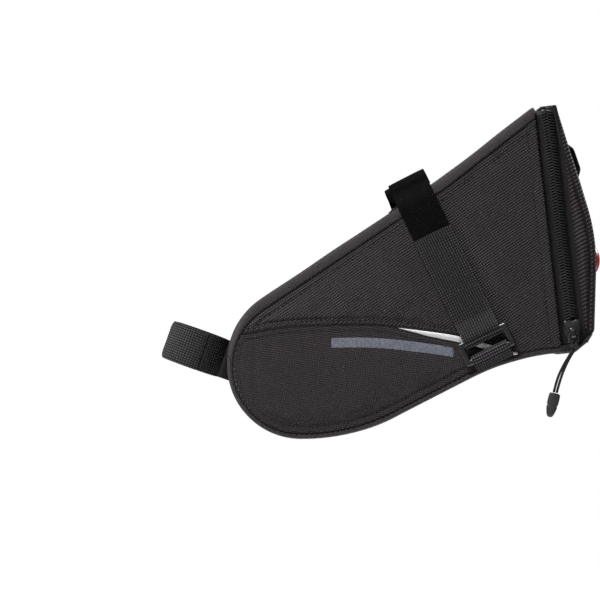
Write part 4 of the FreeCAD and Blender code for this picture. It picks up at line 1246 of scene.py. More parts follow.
def rim_arch(out, foot):
    """A line round the rim, out from the tape's face, as depth 0 points of the rim frame."""
    half, top = 40.1 * MM + out, 123.3 * MM + out
    corners = [(-half, foot, 0), (-half, top, 3.1 * MM + out), (half, top, 3.1 * MM + out),
               (half, foot, 0)]
    flat = path_of(corners, 0.8 * MM)
    return np.stack([np.zeros(len(flat)), flat[:, 0], flat[:, 1]], 1)


def tooth(direction):
    """One turn of the coil: out over the tape to the zip's middle and back under."""
    sew = sizes()
    lean = 0.32 * sew.tooth_step
    turn = [(-0.3, -2.95, 0.1), (-0.25, -2.55, 0.62), (-0.05, -1.6, 0.68), (0.1, -0.55, 0.66),
            (0.25, 0.12, 0.52), (0.3, 0.38, 0.1), (0.25, 0.12, -0.3), (0.1, -0.6, -0.42),
            (-0.1, -2.6, -0.42)]
    points = [(along * lean / 0.3, across * MM * direction, rise * MM)
              for along, across, rise in turn]
    return wire_mesh("tooth", [(a, r, c) for a, c, r in points], sew.tooth_wire / 2)


class SADDLEBAG_OT_zip_teeth(bpy.types.Operator):
    """Wind both halves of the zip's coil"""

    bl_idname = "saddlebag.zip_teeth"
    bl_label = "Zip Teeth"

    def execute(self, context):
        step = sizes().tooth_step
        halves = [("bag", "body_teeth", 1, 3.8 * MM, "body_zip_coil"),
                  ("lid", "lid_teeth", -1, 17 * MM + step / 2, "lid_zip_coil")]
        for body, name, direction, foot, coil in halves:
            line = lid_place(rim_arch(1.0 * MM, foot))
            teeth = row_of(name, [line], tooth(direction), step, BACK, 0.0, 1, coil_plastic())
            sewn_on(teeth, body, "zip_coil", coil)
        return {"FINISHED"}


def stitch_mesh():
    """One stitch: a short thread that dips at both ends."""
    sew = sizes()
    half = sew.stitch_length / 2
    line = [(half * t, 0, sew.thread * (0.35 - 0.75 * t * t)) for t in np.linspace(-1, 1, 6)]
    return wire_mesh("stitch", line, sew.thread / 2, 6)


def inset_line(line, inset, side):
    """A line moved sideways: side 1 to its left, -1 to its right."""
    tangent = np.gradient(line, axis=0)
    tangent /= np.linalg.norm(tangent, axis=1)[:, None]
    return line + side * inset * np.stack([-tangent[:, 1], tangent[:, 0]], 1)


class SADDLEBAG_OT_stitches(bpy.types.Operator):
    """Sew the rows of stitches on the side panels, the top panel and the zip's tape"""

    bl_idname = "saddlebag.stitches"
    bl_label = "Stitches"

    def execute(self, context):
        sew = sizes()
        upper_top, upper_low = upper_lines()
        lower_top, lower_low = lower_lines()
        upper_border = np.vstack([upper_top[::-1], upper_low])
        lower_border = np.vstack([lower_top, lower_low[::-1]])
        inset = sew.stitch_inset
        seam_row = between(SEAM, NOSE_X + 2 * MM, HEEL_HIT_X - 4 * MM)
        hem_depth = RIM_EDGE - 5.3 * MM
        hem = np.array([rim_point(hem_depth, h * MM) for h in np.linspace(3, 119, 80)])
        rows = [
            (inset_line(upper_top, inset, -1)[6:-5], upper_border),
            (inset_line(seam_row, inset * 0.8, 1), upper_border),
            (inset_line(lower_low, 0.9 * MM, 1)[3:-3], lower_border),
            (hem, upper_border)]
        lift = 0.05 * MM
        lines = []
        for plane, border in rows:
            plane = resample(plane, max(20, int(len(plane) * 1.2)))
            lines.append(side_surface(plane, border, sew.puff) - np.array(INWARD)[None] * lift)
        stitches = row_of("bag_stitches", lines, stitch_mesh(), sew.stitch_step, -INWARD, 0.12,
                          4, sewing_thread())
        sewn_on(stitches, "bag", "lower_weave")
        twin = mirrored(stitches, "bag_stitches_right")
        sewn_on(twin, "bag", "lower_weave")
        self.top_rows()
        line = rim_arch(0.05 * MM, 6 * MM)
        line[:, 0] = -5.6 * MM
        tape = row_of("tape_stitches", [lid_place(line)], stitch_mesh(), sew.stitch_step, BACK,
                      0.1, 5, sewing_thread())
        sewn_on(tape, "bag", "zip_tape")
        return {"FINISHED"}

    def top_rows(self):
        """Two rows along the top panel, just inside its rounded edges."""
        sunk = 0.12 * MM
        rows = []
        for side in (-1, 1):
            row = []
            for outer, sewn in zip(OUTER[3:], SEWN[3:]):
                if outer[0] < -72 * MM:
                    break
                inwards = (sewn - outer) / np.linalg.norm(sewn - outer)
                half_top = half_width(*outer) - TOP_ROUND
                x, y, z = crowned(outer, inwards, side * (half_top - 1.2 * MM), half_top,
                                  PANEL_CROWN)
                row.append((x + inwards[0] * sunk, y, z + inwards[1] * sunk))
            rows.append(np.array(row))
        slope = math.atan(TOP_SLOPE)
        seams = row_of("top_stitches", rows, stitch_mesh(), sizes().stitch_step,
                       Vector((-math.sin(slope), 0, math.cos(slope))), 0.12, 6, sewing_thread())
        sewn_on(seams, "bag", "wrap_fabric")


# ------------------------------------------------------------------ slider and pull


def block_mesh(name, outline, low, high, place, bevel=0.4 * MM, segments=3):
    """A plate from a flat outline, its edges rounded; place turns (u, v, level) into a point."""
    work = bmesh.new()
    floor = [work.verts.new(place(u, v, low)) for u, v in outline]
    roof = [work.verts.new(place(u, v, high)) for u, v in outline]
    count = len(outline)
    work.faces.new(floor[::-1])
    work.faces.new(roof)
    for i in range(count):
        j = (i + 1) % count
        work.faces.new((floor[i], floor[j], roof[j], roof[i]))
    bmesh.ops.recalc_face_normals(work, faces=work.faces)
    if bevel:
        sharp = [e for e in work.edges if e.calc_face_angle(0) > 0.5]
        bmesh.ops.bevel(work, geom=sharp, offset=bevel, segments=segments, affect="EDGES",
                        profile=0.6, clamp_overlap=True)
    mesh = bpy.data.meshes.new(name)
    work.to_mesh(mesh)
    work.free()
    shade_smooth(mesh, 38)
    return mesh


def joined(name, meshes, material):
    """Several meshes as one piece."""
    work = bmesh.new()
    for mesh in meshes:
        work.from_mesh(mesh)
    mesh = bpy.data.meshes.new(name)
    work.to_mesh(mesh)
    work.free()
    shade_smooth(mesh, 40)
    mesh.materials.append(material)
    return link(name, mesh, None)


def rounded_outline(corners):
    """A closed outline with rounded corners as a list of points."""
    count = len(corners)
    first = Vector(corners[0][:2]).lerp(Vector(corners[1][:2]), 0.5)
    loop = [(*first, 0)] + [corners[(i + 1) % count] for i in range(count)] + [(*first, 0)]
    return [tuple(p) for p in path_of(loop, 0.35 * MM)[:-1]]


class SADDLEBAG_OT_slider(bpy.types.Operator):
    """Cast the zip's slider with its crown"""

    bl_idname = "saddlebag.slider"
    bl_label = "Zip Slider"

    def execute(self, context):
        foot, face, plate = 4.6 * MM, TAPE_FACE, 1.1 * MM

        def front(depth, height, out):
            return HINGE + BACK * depth + UP * height + LEFT * out

        def side_on(height, out, depth):
            return front(depth, height, out)

        body = rounded_outline(scaled([
            (-2.7, 4.6, 1.2), (2.7, 4.6, 1.2), (3.3, 8.2, 3), (4.25, 11.5, 3), (4.25, 15.3, 1.2),
            (3.0, 16.0, 1.0), (0, 15.2, 1.5), (-3.0, 16.0, 1.0), (-4.25, 15.3, 1.2),
            (-4.25, 11.5, 3), (-3.3, 8.2, 3)]))
        meshes = [block_mesh("top", body, face, face + plate + 0.25 * MM, front, 0.45 * MM)]
        meshes.append(block_mesh("base", body, 37.9 * MM, 39.0 * MM, front, 0.35 * MM))
        for side in (-1, 1):
            wall = scaled([(side * 3.15, 7.6, 0), (side * 4.2, 10.6, 0), (side * 4.2, 15.2, 0),
                           (side * 3.3, 15.2, 0), (side * 3.3, 10.8, 0), (side * 2.5, 8.0, 0)])
            outline = [corner[:2] for corner in wall][::side]
            meshes.append(block_mesh("wall", outline, face - 1.5 * MM, face + 0.5 * MM, front,
                                     0.2 * MM, 2))
        bridge = [(-0.45 * MM, foot), (0.45 * MM, foot), (0.45 * MM, foot + 2.2 * MM),
                  (-0.45 * MM, foot + 2.2 * MM)]
        meshes.append(block_mesh("bridge", bridge, 38.5 * MM, face + 0.5 * MM, front, 0))
        base = face + plate
        crown = path_of(scaled([(6.7, 0.0, 0), (6.7, 2.75, 1.4), (12.6, 2.75, 2.2), (12.6, 0, 0)]),
                        0.25 * MM)
        inner = path_of(scaled([(7.9, 0.0, 0), (7.9, 1.85, 0.8), (11.4, 1.85, 1.2), (11.4, 0, 0)]),
                        0.25 * MM)
        arch = [(u, base + v) for u, v in crown] + [(u, base + v) for u, v in inner[::-1]]
        meshes.append(block_mesh("crown", arch, -1.15 * MM, 1.15 * MM, side_on, 0.25 * MM, 2))
        slider = joined("slider", meshes, slider_metal())
        sewn_on(slider, "slider", "slider_metal", "zip_slider")
        return {"FINISHED"}


def pull_place(depth, height, out=0.0):
    """A point at the pull, from the middle of the slider's crown."""
    pivot = Vector(JOINTS["pull_swing"]["pos_m"])
    return pivot + BACK * depth + UP * height + LEFT * out


class SADDLEBAG_OT_pull(bpy.types.Operator):
    """Hang the pull: its cord, knot and moulded tip"""

    bl_idname = "saddlebag.pull"
    bl_label = "Zip Pull"

    def execute(self, context):
        route = [pull_place(depth * MM, height * MM) for depth, height in PULL_ROUTE]
        curve = bpy.data.curves.new("cord", "CURVE")
        curve.dimensions = "3D"
        spline = curve.splines.new("NURBS")
        spline.points.add(len(route) - 1)
        for point, at in zip(spline.points, route):
            point.co = (*at, 1.0)
        spline.order_u = 3
        spline.use_endpoint_u = True
        spline.resolution_u = 12
        cord = bpy.data.objects.new("cord", curve)
        bpy.context.scene.collection.objects.link(cord)
        bare = bpy.data.meshes.new_from_object(cord)
        line = coordinates(bare)
        bpy.data.meshes.remove(bare)
        curve.bevel_depth = CORD_ROUND / 2
        curve.bevel_resolution = 5
        curve.use_fill_caps = True
        curve.materials.append(cord_braid())
        sewn_on(cord, "pull", "cord", "pull_cord")
        knot = self.knot()
        tip = self.tip(route)
        return {"FINISHED"}

    def knot(self):
        """An overhand knot that gathers the cord's two legs."""
        turns = np.linspace(0, 2 * math.pi, 97)[:-1]
        x = np.sin(turns) + 2 * np.sin(2 * turns)
        y = np.cos(turns) - 2 * np.cos(2 * turns)
        z = -np.sin(3 * turns)
        centre = (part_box("cord_knot")[0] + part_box("cord_knot")[1]) / 2
        points = [centre + BACK * (0.55 * MM * a) + UP * (0.38 * MM * b) + LEFT * (0.72 * MM * c)
                  for a, b, c in zip(x, y, z)]
        points.append(points[0])
        mesh = wire_mesh("knot", [tuple(p) for p in points], 0.62 * MM, 10)
        knot = link("knot", mesh, cord_braid())
        sewn_on(knot, "pull", "cord", "cord_knot")
        return knot

    def tip(self, route):
        """The moulded tip, flat and tapered, with a parting line round its waist."""
        way = (route[0] - route[1]).normalized() + (route[-1] - route[-2]).normalized()
        way.normalize()
        seat = (route[0] + route[-1]) / 2 + way * 0.25 * MM
        across = way.cross(Vector((0, 1, 0)))
        rows = []
        metres = []
        profile = [(0.0, 0.0), (0.02, 1.9), (0.25, 2.55), (0.9, 2.86), (3.0, 2.95), (6.0, 2.92),
                   (6.15, 2.5), (6.75, 2.5), (6.95, 2.84), (8.5, 2.55), (10.5, 2.05),
                   (11.7, 1.62), (12.25, 1.05), (12.45, 0.5), (12.5, 0.0)]
        for down, half in profile:
            row = []
            way_row = []
            thick = 1.75 * min(1.0, half / 1.9)
            for k in range(28):
                angle = 2 * math.pi * k / 28
                u = math.copysign(abs(math.cos(angle)) ** 0.75, math.cos(angle)) * half
                v = math.copysign(abs(math.sin(angle)) ** 0.75, math.sin(angle)) * thick
                row.append(tuple(seat + way * down * MM + across * u * MM + LEFT * v * MM))
                way_row.append((k * 0.6 * MM, down * MM))
            rows.append(row)
            metres.append(way_row)
        mesh = grid_mesh("tip", np.array(rows), np.array(metres), wrap=True)
        tidy(mesh, outwards=True)
        tip = link("tip", mesh, tip_rubber())
        smooth = tip.modifiers.new("Smooth", "SUBSURF")
        smooth.levels = 2
        smooth.render_levels = 2
        sewn_on(tip, "pull", "tip_rubber", "pull_tip")
        return tip


# ------------------------------------------------------------------ shader groups


def woven_height(tree, along, per_metre, uneven=0.25):
    """Height of crossed threads, from 0 in the gaps to 1 where they cross."""
    def build(group, given):
        bent = noise_node(group, given["Vector"], 55.0)
        split = node(group, "ShaderNodeSeparateXYZ", {0: given["Vector"]})
        sway = math_node(group, "MULTIPLY", math_node(group, "SUBTRACT", bent, 0.5),
                         given["Unevenness"])
        waves = []
        for axis in (0, 1):
            turns = math_node(group, "MULTIPLY", split.outputs[axis], given["Threads per metre"])
            turns = math_node(group, "ADD", turns, sway)
            waves.append(math_node(group, "SINE", math_node(group, "MULTIPLY", turns, math.tau)))
        return [math_node(group, "MULTIPLY_ADD", math_node(group, "MULTIPLY", *waves), 0.5, 0.5)]

    group = node_group("Crossed threads", "ShaderNodeTree",
                       {"Vector": "Vector", "Threads per metre": "Float", "Unevenness": "Float"},
                       {"Height": "Float"}, build)
    return node(tree, "ShaderNodeGroup", {"Vector": along, "Threads per metre": per_metre,
                                          "Unevenness": uneven}, node_tree=group).outputs[0]


def ribbed_height(tree, vector, direction, per_metre):
    """Height of parallel ribs that follow one another along a direction."""
    def build(group, given):
        along = node(group, "ShaderNodeVectorMath", {0: given["Vector"], 1: given["Direction"]},
                     operation="DOT_PRODUCT").outputs["Value"]
        bent = noise_node(group, given["Vector"], 70.0)
        turns = math_node(group, "ADD", math_node(group, "MULTIPLY", along,
                                                  given["Ribs per metre"]),
                          math_node(group, "MULTIPLY", bent, 0.5))
        wave = math_node(group, "SINE", math_node(group, "MULTIPLY", turns, math.pi))
        return [math_node(group, "POWER", math_node(group, "ABSOLUTE", wave), 1.3)]

    group = node_group("Ribs", "ShaderNodeTree",
                       {"Vector": "Vector", "Direction": "Vector", "Ribs per metre": "Float"},
                       {"Height": "Float"}, build)
    return node(tree, "ShaderNodeGroup", {"Vector": vector, "Direction": direction,
                                          "Ribs per metre": per_metre},
                node_tree=group).outputs[0]


def toned(tree, shader, where, shade, spread, lint, rough, grain=0.0):
    """A base colour with uneven tone, grain and a few pale specks; sets the roughness too."""
    def build(group, given):
        def around_one(value, amount):
            return math_node(group, "ADD", math_node(
                group, "MULTIPLY", math_node(group, "SUBTRACT", value, 0.5), amount), 1.0)

        cloud = noise_node(group, given["Vector"], 38.0, 5.0)
        fine = noise_node(group, given["Vector"], 1500.0)
        tone = math_node(group, "MULTIPLY", around_one(cloud, given["Spread"]),
                         around_one(fine, given["Grain"]))
        specks = node(group, "ShaderNodeTexVoronoi", {"Vector": given["Vector"], "Scale": 620.0})
        near = math_node(group, "LESS_THAN", specks.outputs["Distance"], 0.16)
        pick = node(group, "ShaderNodeSeparateColor", {0: specks.outputs["Color"]})
        rare = math_node(group, "GREATER_THAN", pick.outputs[0], 0.96)
        dust = math_node(group, "MULTIPLY", math_node(group, "MULTIPLY", near, rare),
                         given["Lint"])
        dusty = node(group, "ShaderNodeMix",
                     {"Factor": dust, 6: multiplied(group, given["Color"], tone),
                      7: (0.22, 0.21, 0.20, 1.0)}, data_type="RGBA")
        return [dusty.outputs[2], math_node(group, "MULTIPLY", cloud, 0.16)]

    group = node_group("Tone and lint", "ShaderNodeTree",
                       {"Vector": "Vector", "Color": "Color", "Spread": "Float",
                        "Lint": "Float", "Grain": "Float"},
                       {"Color": "Color", "Rough": "Float"}, build)
    tone = node(tree, "ShaderNodeGroup",
                {"Vector": where, "Color": (*shade, 1.0), "Spread": spread, "Lint": lint,
                 "Grain": grain}, node_tree=group)
    tree.links.new(math_node(tree, "ADD", tone.outputs["Rough"], rough),
                   shader.inputs["Roughness"])
    return tone.outputs["Color"]


# ------------------------------------------------------------------ materials


def finish(name, build):
    """The material called name; build sets up its nodes the first time."""
    material = bpy.data.materials.get(name)
    if material is None:
        material = bpy.data.materials.new(name)
        material.use_nodes = True
        tree = material.node_tree
        build(tree, tree.nodes["Principled BSDF"])
    return material


def cloth_vector(tree, turn=0.0, uv=True):
    """Metres along the cloth, turned by some degrees, and the place in the object."""
    coords = node(tree, "ShaderNodeTexCoord")
    mapping = node(tree, "ShaderNodeMapping", {"Vector": coords.outputs["UV" if uv else "Object"],
                                               "Rotation": (0, 0, math.radians(turn))})
    return mapping.outputs[0], coords.outputs["Object"]


def paint_relief_light(tree, shader, shade, height, low, high):
    """Paint light and shade into the shader's colour, from low in the hollows to high on the crests: a painted
    shade and a painted highlight where high is the larger.
    """
    scale = math_node(tree, "MULTIPLY_ADD", height, high - low, low)
    tree.links.new(multiplied(tree, shade, scale), shader.inputs["Base Color"])


def bumped(tree, shader, height, distance):
    bump = node(tree, "ShaderNodeBump", {"Distance": distance, "Height": height})
    tree.links.new(bump.outputs[0], shader.inputs["Normal"])


def cloth_finish(shader, sheen, specular=0.2):
    shader.inputs["Sheen Weight"].default_value = sheen
    shader.inputs["Sheen Roughness"].default_value = 0.45
    shader.inputs["Specular IOR Level"].default_value = specular


def woven(name, shade, per_metre, turn, depth, low, high, rough, sheen, spread=0.35, lint=0.25,
          uv=True, fade=None):
    """A woven fabric with its own thread count, with a painted highlight on its threads' crests and a painted
    shade in their gaps; fade strengthens it from one x to another.
    """
    def build(tree, shader):
        along, where = cloth_vector(tree, turn, uv)
        height = woven_height(tree, along, per_metre)
        if fade:
            split = node(tree, "ShaderNodeSeparateXYZ", {0: where})
            part = node(tree, "ShaderNodeMapRange",
                        {"Value": split.outputs[0], "From Min": fade[0], "From Max": fade[1],
                         "To Min": fade[2]})
            centred = math_node(tree, "SUBTRACT", height, 0.5)
            height = math_node(tree, "MULTIPLY_ADD", centred, part.outputs[0], 0.5)
        tone = toned(tree, shader, where, shade, spread, lint, rough, 2.4)
        # painted highlight on the crossing threads and painted shade in the gaps between them
        paint_relief_light(tree, shader, tone, height, low, high)
        bumped(tree, shader, height, depth)
        cloth_finish(shader, sheen)
    return finish(name, build)


def upper_fabric():
    return woven("upper fabric", colours().upper, 570.0, 11.0, 0.0010, -0.1, 2.3, 0.42, 0.02,
                 spread=0.3, fade=(-0.085, 0.03, 0.45))


def lower_fabric():
    return woven("lower fabric", colours().lower, 800.0, 38.0, 0.0007, 0.0, 2.0, 0.5, 0.03)


def wrap_fabric():
    return woven("wrap fabric", colours().wrap, 900.0, 20.0, 0.0004, 0.35, 1.65, 0.46, 0.08,
                 spread=0.6, lint=0.15)


def lining_fabric():
    return woven("lining cloth", (0.028, 0.028, 0.031), 1500.0, 0.0, 0.00005, 0.8, 1.2, 0.5, 0.15,
                 uv=False)


def tape_fabric():
    return woven("zip tape", colours().tape, 1100.0, 45.0, 0.0002, 0.4, 1.6, 0.55, 0.08, uv=False)


def anchor_webbing():
    return woven("anchor webbing", colours().webbing, 700.0, 0.0, 0.0004, 0.3, 1.7, 0.5, 0.05,
                 uv=False)


def print_ink():
    return woven("print ink", colours().print_ink, 1150.0, 38.0, 0.0002, 0.62, 1.38, 0.5, 0.05,
                 spread=0.25, lint=0.1)


def reflective_fabric():
    """Silver cloth of tiny beads."""
    def build(tree, shader):
        _, where = cloth_vector(tree)
        beads = node(tree, "ShaderNodeTexVoronoi", {"Vector": where, "Scale": 3600.0})
        tone = toned(tree, shader, where, colours().reflective, 0.12, 0.1, 0.36)
        tree.links.new(tone, shader.inputs["Base Color"])
        bumped(tree, shader, beads.outputs["Distance"], 0.00003)
        shader.inputs["Metallic"].default_value = 0.25
    return finish("silver tape", build)


def ribbed_fabric():
    """The lid's fabric, ribbed on a slant, with a painted shade in the ribs' hollows and a painted highlight on
    their crests.
    """
    def build(tree, shader):
        along, where = cloth_vector(tree, 20.0)
        slant = math.radians(27)
        ribs = ribbed_height(tree, where, (-math.sin(slant), 0.0, math.cos(slant)),
                             1.0 / sizes().lid_rib_step)
        threads = woven_height(tree, along, 1400.0, 0.2)
        tone = toned(tree, shader, where, colours().lower, 0.3, 0.2, 0.5, 2.0)
        # painted shade in the ribs' hollows and painted highlight on their crests
        paint_relief_light(tree, shader, tone, ribs, 0.1, 1.5)
        bumped(tree, shader, math_node(tree, "MULTIPLY_ADD", threads, 0.12, ribs), 0.0005)
        cloth_finish(shader, 0.04, 0.1)
    return finish("ribbed fabric", build)


def ribbed_webbing():
    """Webbing whose ribs are modelled: fine yarns run along it. A painted highlight lies on each rib and yarn, and
    a painted shade in the grooves between them.
    """
    def build(tree, shader):
        along, where = cloth_vector(tree)
        yarn = ribbed_height(tree, along, (1.0, 0.0, 0.0), 780.0)
        rib_light_and_shade = ribbed_height(tree, along, (0.0, 1.0, 0.0), 1.0 / sizes().rib_step)
        tone = toned(tree, shader, where, colours().webbing, 0.35, 0.15, 0.5, 1.6)
        # painted highlight on each rib and painted shade in its grooves, from -0.1 to 2.4 times the colour
        tone = multiplied(tree, tone, math_node(tree, "MULTIPLY_ADD", rib_light_and_shade, 2.5, -0.1))
        # painted highlight on the yarns and painted shade between them
        paint_relief_light(tree, shader, tone, yarn, 0.3, 1.9)
        bumped(tree, shader, yarn, 0.0002)
        cloth_finish(shader, 0.05, 0.06)
    return finish("ribbed webbing", build)


def loop_pile():
    """The soft side of hook-and-loop webbing, very dark: partly the pile's own colour and partly painted shade
    where the strap lies under its tail and against the seatpost.
    """
    def build(tree, shader):
        _, where = cloth_vector(tree)
        fuzz = noise_node(tree, where, 1500.0, 4.0)
        # very dark colour: partly the pile's own, partly painted shade
        tone = toned(tree, shader, where, (0.0022, 0.0020, 0.0024), 0.5, 0.1, 0.8, 2.0)
        # painted highlight on the raised pile and painted shade between its tufts
        paint_relief_light(tree, shader, tone, fuzz, 0.2, 1.8)
        bumped(tree, shader, fuzz, 0.0006)
        cloth_finish(shader, 0.03, 0.03)
    return finish("loop pile", build)


def plain(name, shade, rough, specular, coat=0.0, bump=0.00003, scale=900.0):
    """A moulded or painted finish with a fine grain."""
    def build(tree, shader):
        _, where = cloth_vector(tree)
        tone = toned(tree, shader, where, shade, 0.2, 0.15, rough)
        tree.links.new(tone, shader.inputs["Base Color"])
        bumped(tree, shader, noise_node(tree, where, scale, 3.0), bump)
        shader.inputs["Specular IOR Level"].default_value = specular
        shader.inputs["Coat Weight"].default_value = coat
        shader.inputs["Coat Roughness"].default_value = 0.12
    return finish(name, build)


def binding_tape():
    return plain("binding tape", (0.010, 0.009, 0.010), 0.8, 0.1, bump=0.0001, scale=1500.0)


def coil_plastic():
    return plain("zip coil", colours().coil, 0.34, 0.45)


def slider_metal():
    return plain("slider metal", (0.006, 0.006, 0.007), 0.2, 0.6, coat=0.5, scale=400.0)


def buckle_plastic():
    return plain("buckle plastic", (0.006, 0.006, 0.007), 0.22, 0.6)


def tip_rubber():
    return plain("tip rubber", colours().rubber, 0.42, 0.4, bump=0.00006)


def cord_braid():
    return woven("cord braid", (0.009, 0.009, 0.009), 1600.0, 45.0, 0.0002, 0.4, 1.6, 0.5, 0.1,
                 uv=False)


def sewing_thread():
    return plain("sewing thread", (0.006, 0.0055, 0.006), 0.4, 0.35, bump=0.0001, scale=2500.0)


def foam_sheet():
    return plain("soft foam", (0.020, 0.020, 0.022), 0.85, 0.12, bump=0.0003, scale=700.0)


def board_plastic():
    return plain("stiff board", (0.020, 0.020, 0.022), 0.5, 0.4)


def badge_rim():
    return plain("badge rim", (0.012, 0.012, 0.012), 0.3, 0.5)


def badge_lens():
    """Red plastic lens over a grid of tiny prisms, each with a painted glint at its centre and painted shade
    towards its edges.
    """
    def build(tree, shader):
        _, where = cloth_vector(tree)
        prisms = node(tree, "ShaderNodeTexVoronoi",
                      {"Vector": where, "Scale": 900.0, "Randomness": 0.0},
                      distance="MANHATTAN").outputs["Distance"]
        tone = toned(tree, shader, where, colours().red, 0.15, 0.05, 0.16)
        # painted glint at each prism's centre and painted shade towards its edges
        paint_relief_light(tree, shader, tone, prisms, 1.2, 0.5)
        bumped(tree, shader, prisms, 0.00012)
        shader.inputs["Coat Weight"].default_value = 0.8
        shader.inputs["Coat Roughness"].default_value = 0.06
    return finish("badge lens", build)


# ------------------------------------------------------------------ tapes, linings and foams


def softened(part, longest, move, edge):
    """A frame piece's shape with rounded edges, cut finer and made as uneven as cloth."""
    wave = 14 * MM
    work = bmesh.new()
    work.from_mesh(frame["nodes"][part].data)
    bmesh.ops.remove_doubles(work, verts=work.verts, dist=1e-6)
    bmesh.ops.dissolve_limit(work, angle_limit=math.radians(0.5), verts=work.verts,
                             edges=work.edges)
    if edge:
        sharp = [e for e in work.edges if e.is_manifold and e.calc_face_angle() > 0.7]
        bmesh.ops.bevel(work, geom=sharp, offset=edge, segments=2, affect="EDGES",
                        profile=0.6, clamp_overlap=True)
    bmesh.ops.triangulate(work, faces=work.faces)
    for _ in range(8):
        long_edges = [e for e in work.edges if e.calc_length() > longest]
        if not long_edges:
            break
        bmesh.ops.subdivide_edges(work, edges=long_edges, cuts=1)
        bmesh.ops.triangulate(work, faces=work.faces)
    for vertex in work.verts:
        vertex.co += noise.noise_vector(vertex.co / wave) * move
    bmesh.ops.recalc_face_normals(work, faces=work.faces)
    mesh = bpy.data.meshes.new("soft_" + part)
    work.to_mesh(mesh)
    work.free()
    shade_smooth(mesh, 35)
    return mesh


class SADDLEBAG_OT_soft_pieces(bpy.types.Operator):
    """Cut the tapes, tabs, anchors, linings and foams"""

    bl_idname = "saddlebag.soft_pieces"
    bl_label = "Tapes, Anchors and Linings"

    def execute(self, context):
        kinds = [
            (anchor_webbing, "webbing", 1.2, 0.12, 0.2,
             ["left_strap_anchor", "right_strap_anchor", "post_strap_anchor"]),
            (tape_fabric, "zip_tape", 2.0, 0.16, 0.12,
             ["body_zip_tape", "lid_zip_tape", "left_zip_end_tab", "right_zip_end_tab"]),
            (lining_fabric, "lining", 4.0, 0.35, 0.0, ["left_side_lining", "right_side_lining"]),
            (foam_sheet, "foam", 4.0, 0.30, 0.3, ["left_side_foam", "right_side_foam", "lid_foam"])]
        for make, slot, longest, move, edge, parts in kinds:
            for part in parts:
                mesh = softened(part, longest * MM, move * MM, edge * MM)
                piece = link("soft_" + part, mesh, make())
                sewn_on(piece, "lid" if part.startswith("lid") else "bag", slot, part)
        return {"FINISHED"}


class SADDLEBAG_OT_frame_finishes(bpy.types.Operator):
    """Give the frame pieces that stay in view their own finishes"""

    bl_idname = "saddlebag.frame_finishes"
    bl_label = "Frame Finishes"

    def execute(self, context):
        finishes = {"left_buckle": buckle_plastic, "right_buckle": buckle_plastic,
                    "base_board": board_plastic}
        for part, make in finishes.items():
            mesh = frame["nodes"][part].data
            mesh.materials.clear()
            mesh.materials.append(make())
        return {"FINISHED"}


# ------------------------------------------------------------------ stage


def lamp(name, place, size, power):
    """A round lamp that faces the bag's middle."""
    light = bpy.data.lights.new(name, "AREA")
    light.shape = "DISK"
    light.size = size
    light.energy = power
    holder = bpy.data.objects.new(name, light)
    holder.location = place
    way = Vector((0.0, 0.0, -0.06)) - Vector(place)
    holder.rotation_euler = way.to_track_quat("-Z", "Y").to_euler()
    bpy.context.scene.collection.objects.link(holder)


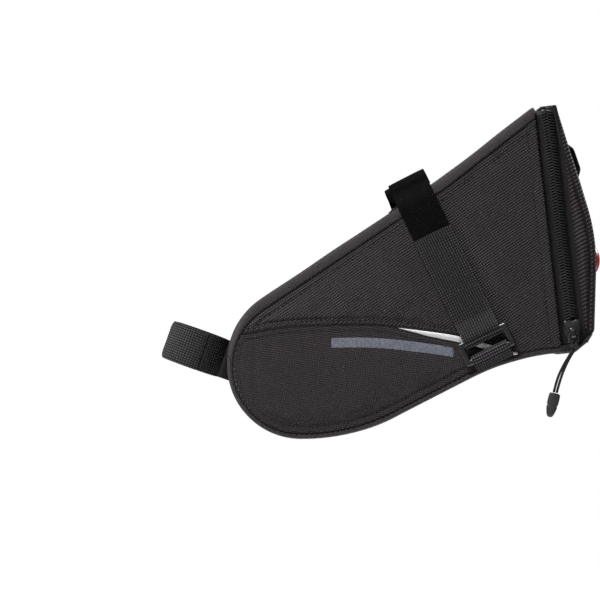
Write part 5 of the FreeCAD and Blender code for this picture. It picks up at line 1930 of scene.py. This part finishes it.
class SADDLEBAG_OT_stage(bpy.types.Operator):
    """Set the camera, the pale floor and the soft lamps"""

    bl_idname = "saddlebag.stage"
    bl_label = "Stage"

    def execute(self, context):
        scene = context.scene
        scene.view_settings.view_transform = "Standard"
        self.camera(scene)
        world = bpy.data.worlds.new("studio")
        scene.world = world
        world.use_nodes = True
        tree = world.node_tree
        dim = tree.nodes["Background"]
        dim.inputs["Color"].default_value = (1.0, 1.0, 1.0, 1.0)
        dim.inputs["Strength"].default_value = 0.10
        path = node(tree, "ShaderNodeLightPath")
        seen = math_node(tree, "ADD", path.outputs["Is Camera Ray"],
                         path.outputs["Is Transmission Ray"])
        white = node(tree, "ShaderNodeBackground", {"Color": (1.0, 1.0, 1.0, 1.0)})
        mix = node(tree, "ShaderNodeMixShader", {0: seen, 1: dim.outputs[0], 2: white.outputs[0]})
        tree.links.new(mix.outputs[0], tree.nodes["World Output"].inputs[0])
        lamp("key", (-0.40, -0.42, 0.85), 0.40, 25.0)
        lamp("front", (-0.1, -1.3, 0.4), 0.8, 2.4)
        lamp("rear", (0.75, 0.6, 0.65), 0.7, 14.0)
        self.floor()
        return {"FINISHED"}

    def camera(self, scene):
        """A long lens level with the bag's middle, square to its left side."""
        reach, view_width, sensor_width = 1.25, 0.306, 36
        lens = bpy.data.cameras.new("camera")
        lens.lens = sensor_width * reach / view_width
        camera = bpy.data.objects.new("camera", lens)
        camera.location = (-56.1 * MM, -reach - 32 * MM, -58.65 * MM)
        camera.rotation_euler = (math.pi / 2, 0, 0)
        scene.collection.objects.link(camera)
        scene.camera = camera

    def floor(self):
        """A pale floor that fades into the white beyond and is clear from below."""
        radius, near, far = 1.6, 0.25, 0.95
        work = bmesh.new()
        level = CAD_BOX[0].z - sizes().floor_drop
        bmesh.ops.create_circle(work, cap_ends=True, radius=radius, segments=96,
                                matrix=Matrix.Translation((0, 0, level)))
        mesh = bpy.data.meshes.new("floor")
        work.to_mesh(mesh)
        work.free()

        def build(tree, shader):
            tree.nodes.remove(shader)
            matt = node(tree, "ShaderNodeBsdfDiffuse", {"Color": (0.93, 0.93, 0.93, 1.0)})
            clear = node(tree, "ShaderNodeBsdfTransparent")
            coords = node(tree, "ShaderNodeTexCoord")
            reach = node(tree, "ShaderNodeVectorMath", {0: coords.outputs["Object"]},
                         operation="LENGTH")
            fade = node(tree, "ShaderNodeMapRange",
                        {"Value": reach.outputs["Value"], "From Min": near, "From Max": far},
                        interpolation_type="SMOOTHSTEP")
            face = node(tree, "ShaderNodeNewGeometry")
            unseen = math_node(tree, "MAXIMUM", fade.outputs[0], face.outputs["Backfacing"])
            mix = node(tree, "ShaderNodeMixShader",
                       {0: unseen, 1: matt.outputs[0], 2: clear.outputs[0]})
            tree.links.new(mix.outputs[0], tree.nodes["Material Output"].inputs[0])

        link("floor", mesh, finish("pale floor", build))


# ------------------------------------------------------------------ panel and registration

MAKERS = [
    SADDLEBAG_OT_stage, SADDLEBAG_OT_pull, SADDLEBAG_OT_side_panels, SADDLEBAG_OT_side_print,
    SADDLEBAG_OT_wrapped_panels, SADDLEBAG_OT_lid_shell, SADDLEBAG_OT_seam_binding,
    SADDLEBAG_OT_hinge_cover, SADDLEBAG_OT_rail_straps, SADDLEBAG_OT_post_strap,
    SADDLEBAG_OT_light_loop, SADDLEBAG_OT_badge, SADDLEBAG_OT_zip_teeth, SADDLEBAG_OT_stitches,
    SADDLEBAG_OT_slider, SADDLEBAG_OT_soft_pieces, SADDLEBAG_OT_frame_finishes]


class SADDLEBAG_PT_maker(bpy.types.Panel):
    """Lists the bag's sizes, colours and makers"""

    bl_idname = "SADDLEBAG_PT_maker"
    bl_label = "Saddle Bag"
    bl_space_type = "VIEW_3D"
    bl_region_type = "UI"
    bl_category = "Saddle Bag"

    def draw(self, context):
        layout = self.layout
        for group in (context.scene.saddle_bag_sizes, context.scene.saddle_bag_colours):
            box = layout.box()
            for name in group.__annotations__:
                box.prop(group, name)
        for maker in MAKERS:
            layout.operator(maker.bl_idname)


CLASSES = [SaddleBagSizes, SaddleBagColours, *MAKERS, SADDLEBAG_PT_maker]


def register():
    for each in CLASSES:
        bpy.utils.register_class(each)
    bpy.types.Scene.saddle_bag_sizes = PointerProperty(type=SaddleBagSizes)
    bpy.types.Scene.saddle_bag_colours = PointerProperty(type=SaddleBagColours)


def unregister():
    del bpy.types.Scene.saddle_bag_colours
    del bpy.types.Scene.saddle_bag_sizes
    for each in reversed(CLASSES):
        bpy.utils.unregister_class(each)


def main():
    register()
    for maker in MAKERS:
        group, name = maker.bl_idname.split(".")
        getattr(getattr(bpy.ops, group), name)()


if __name__ == "__main__":
    main()
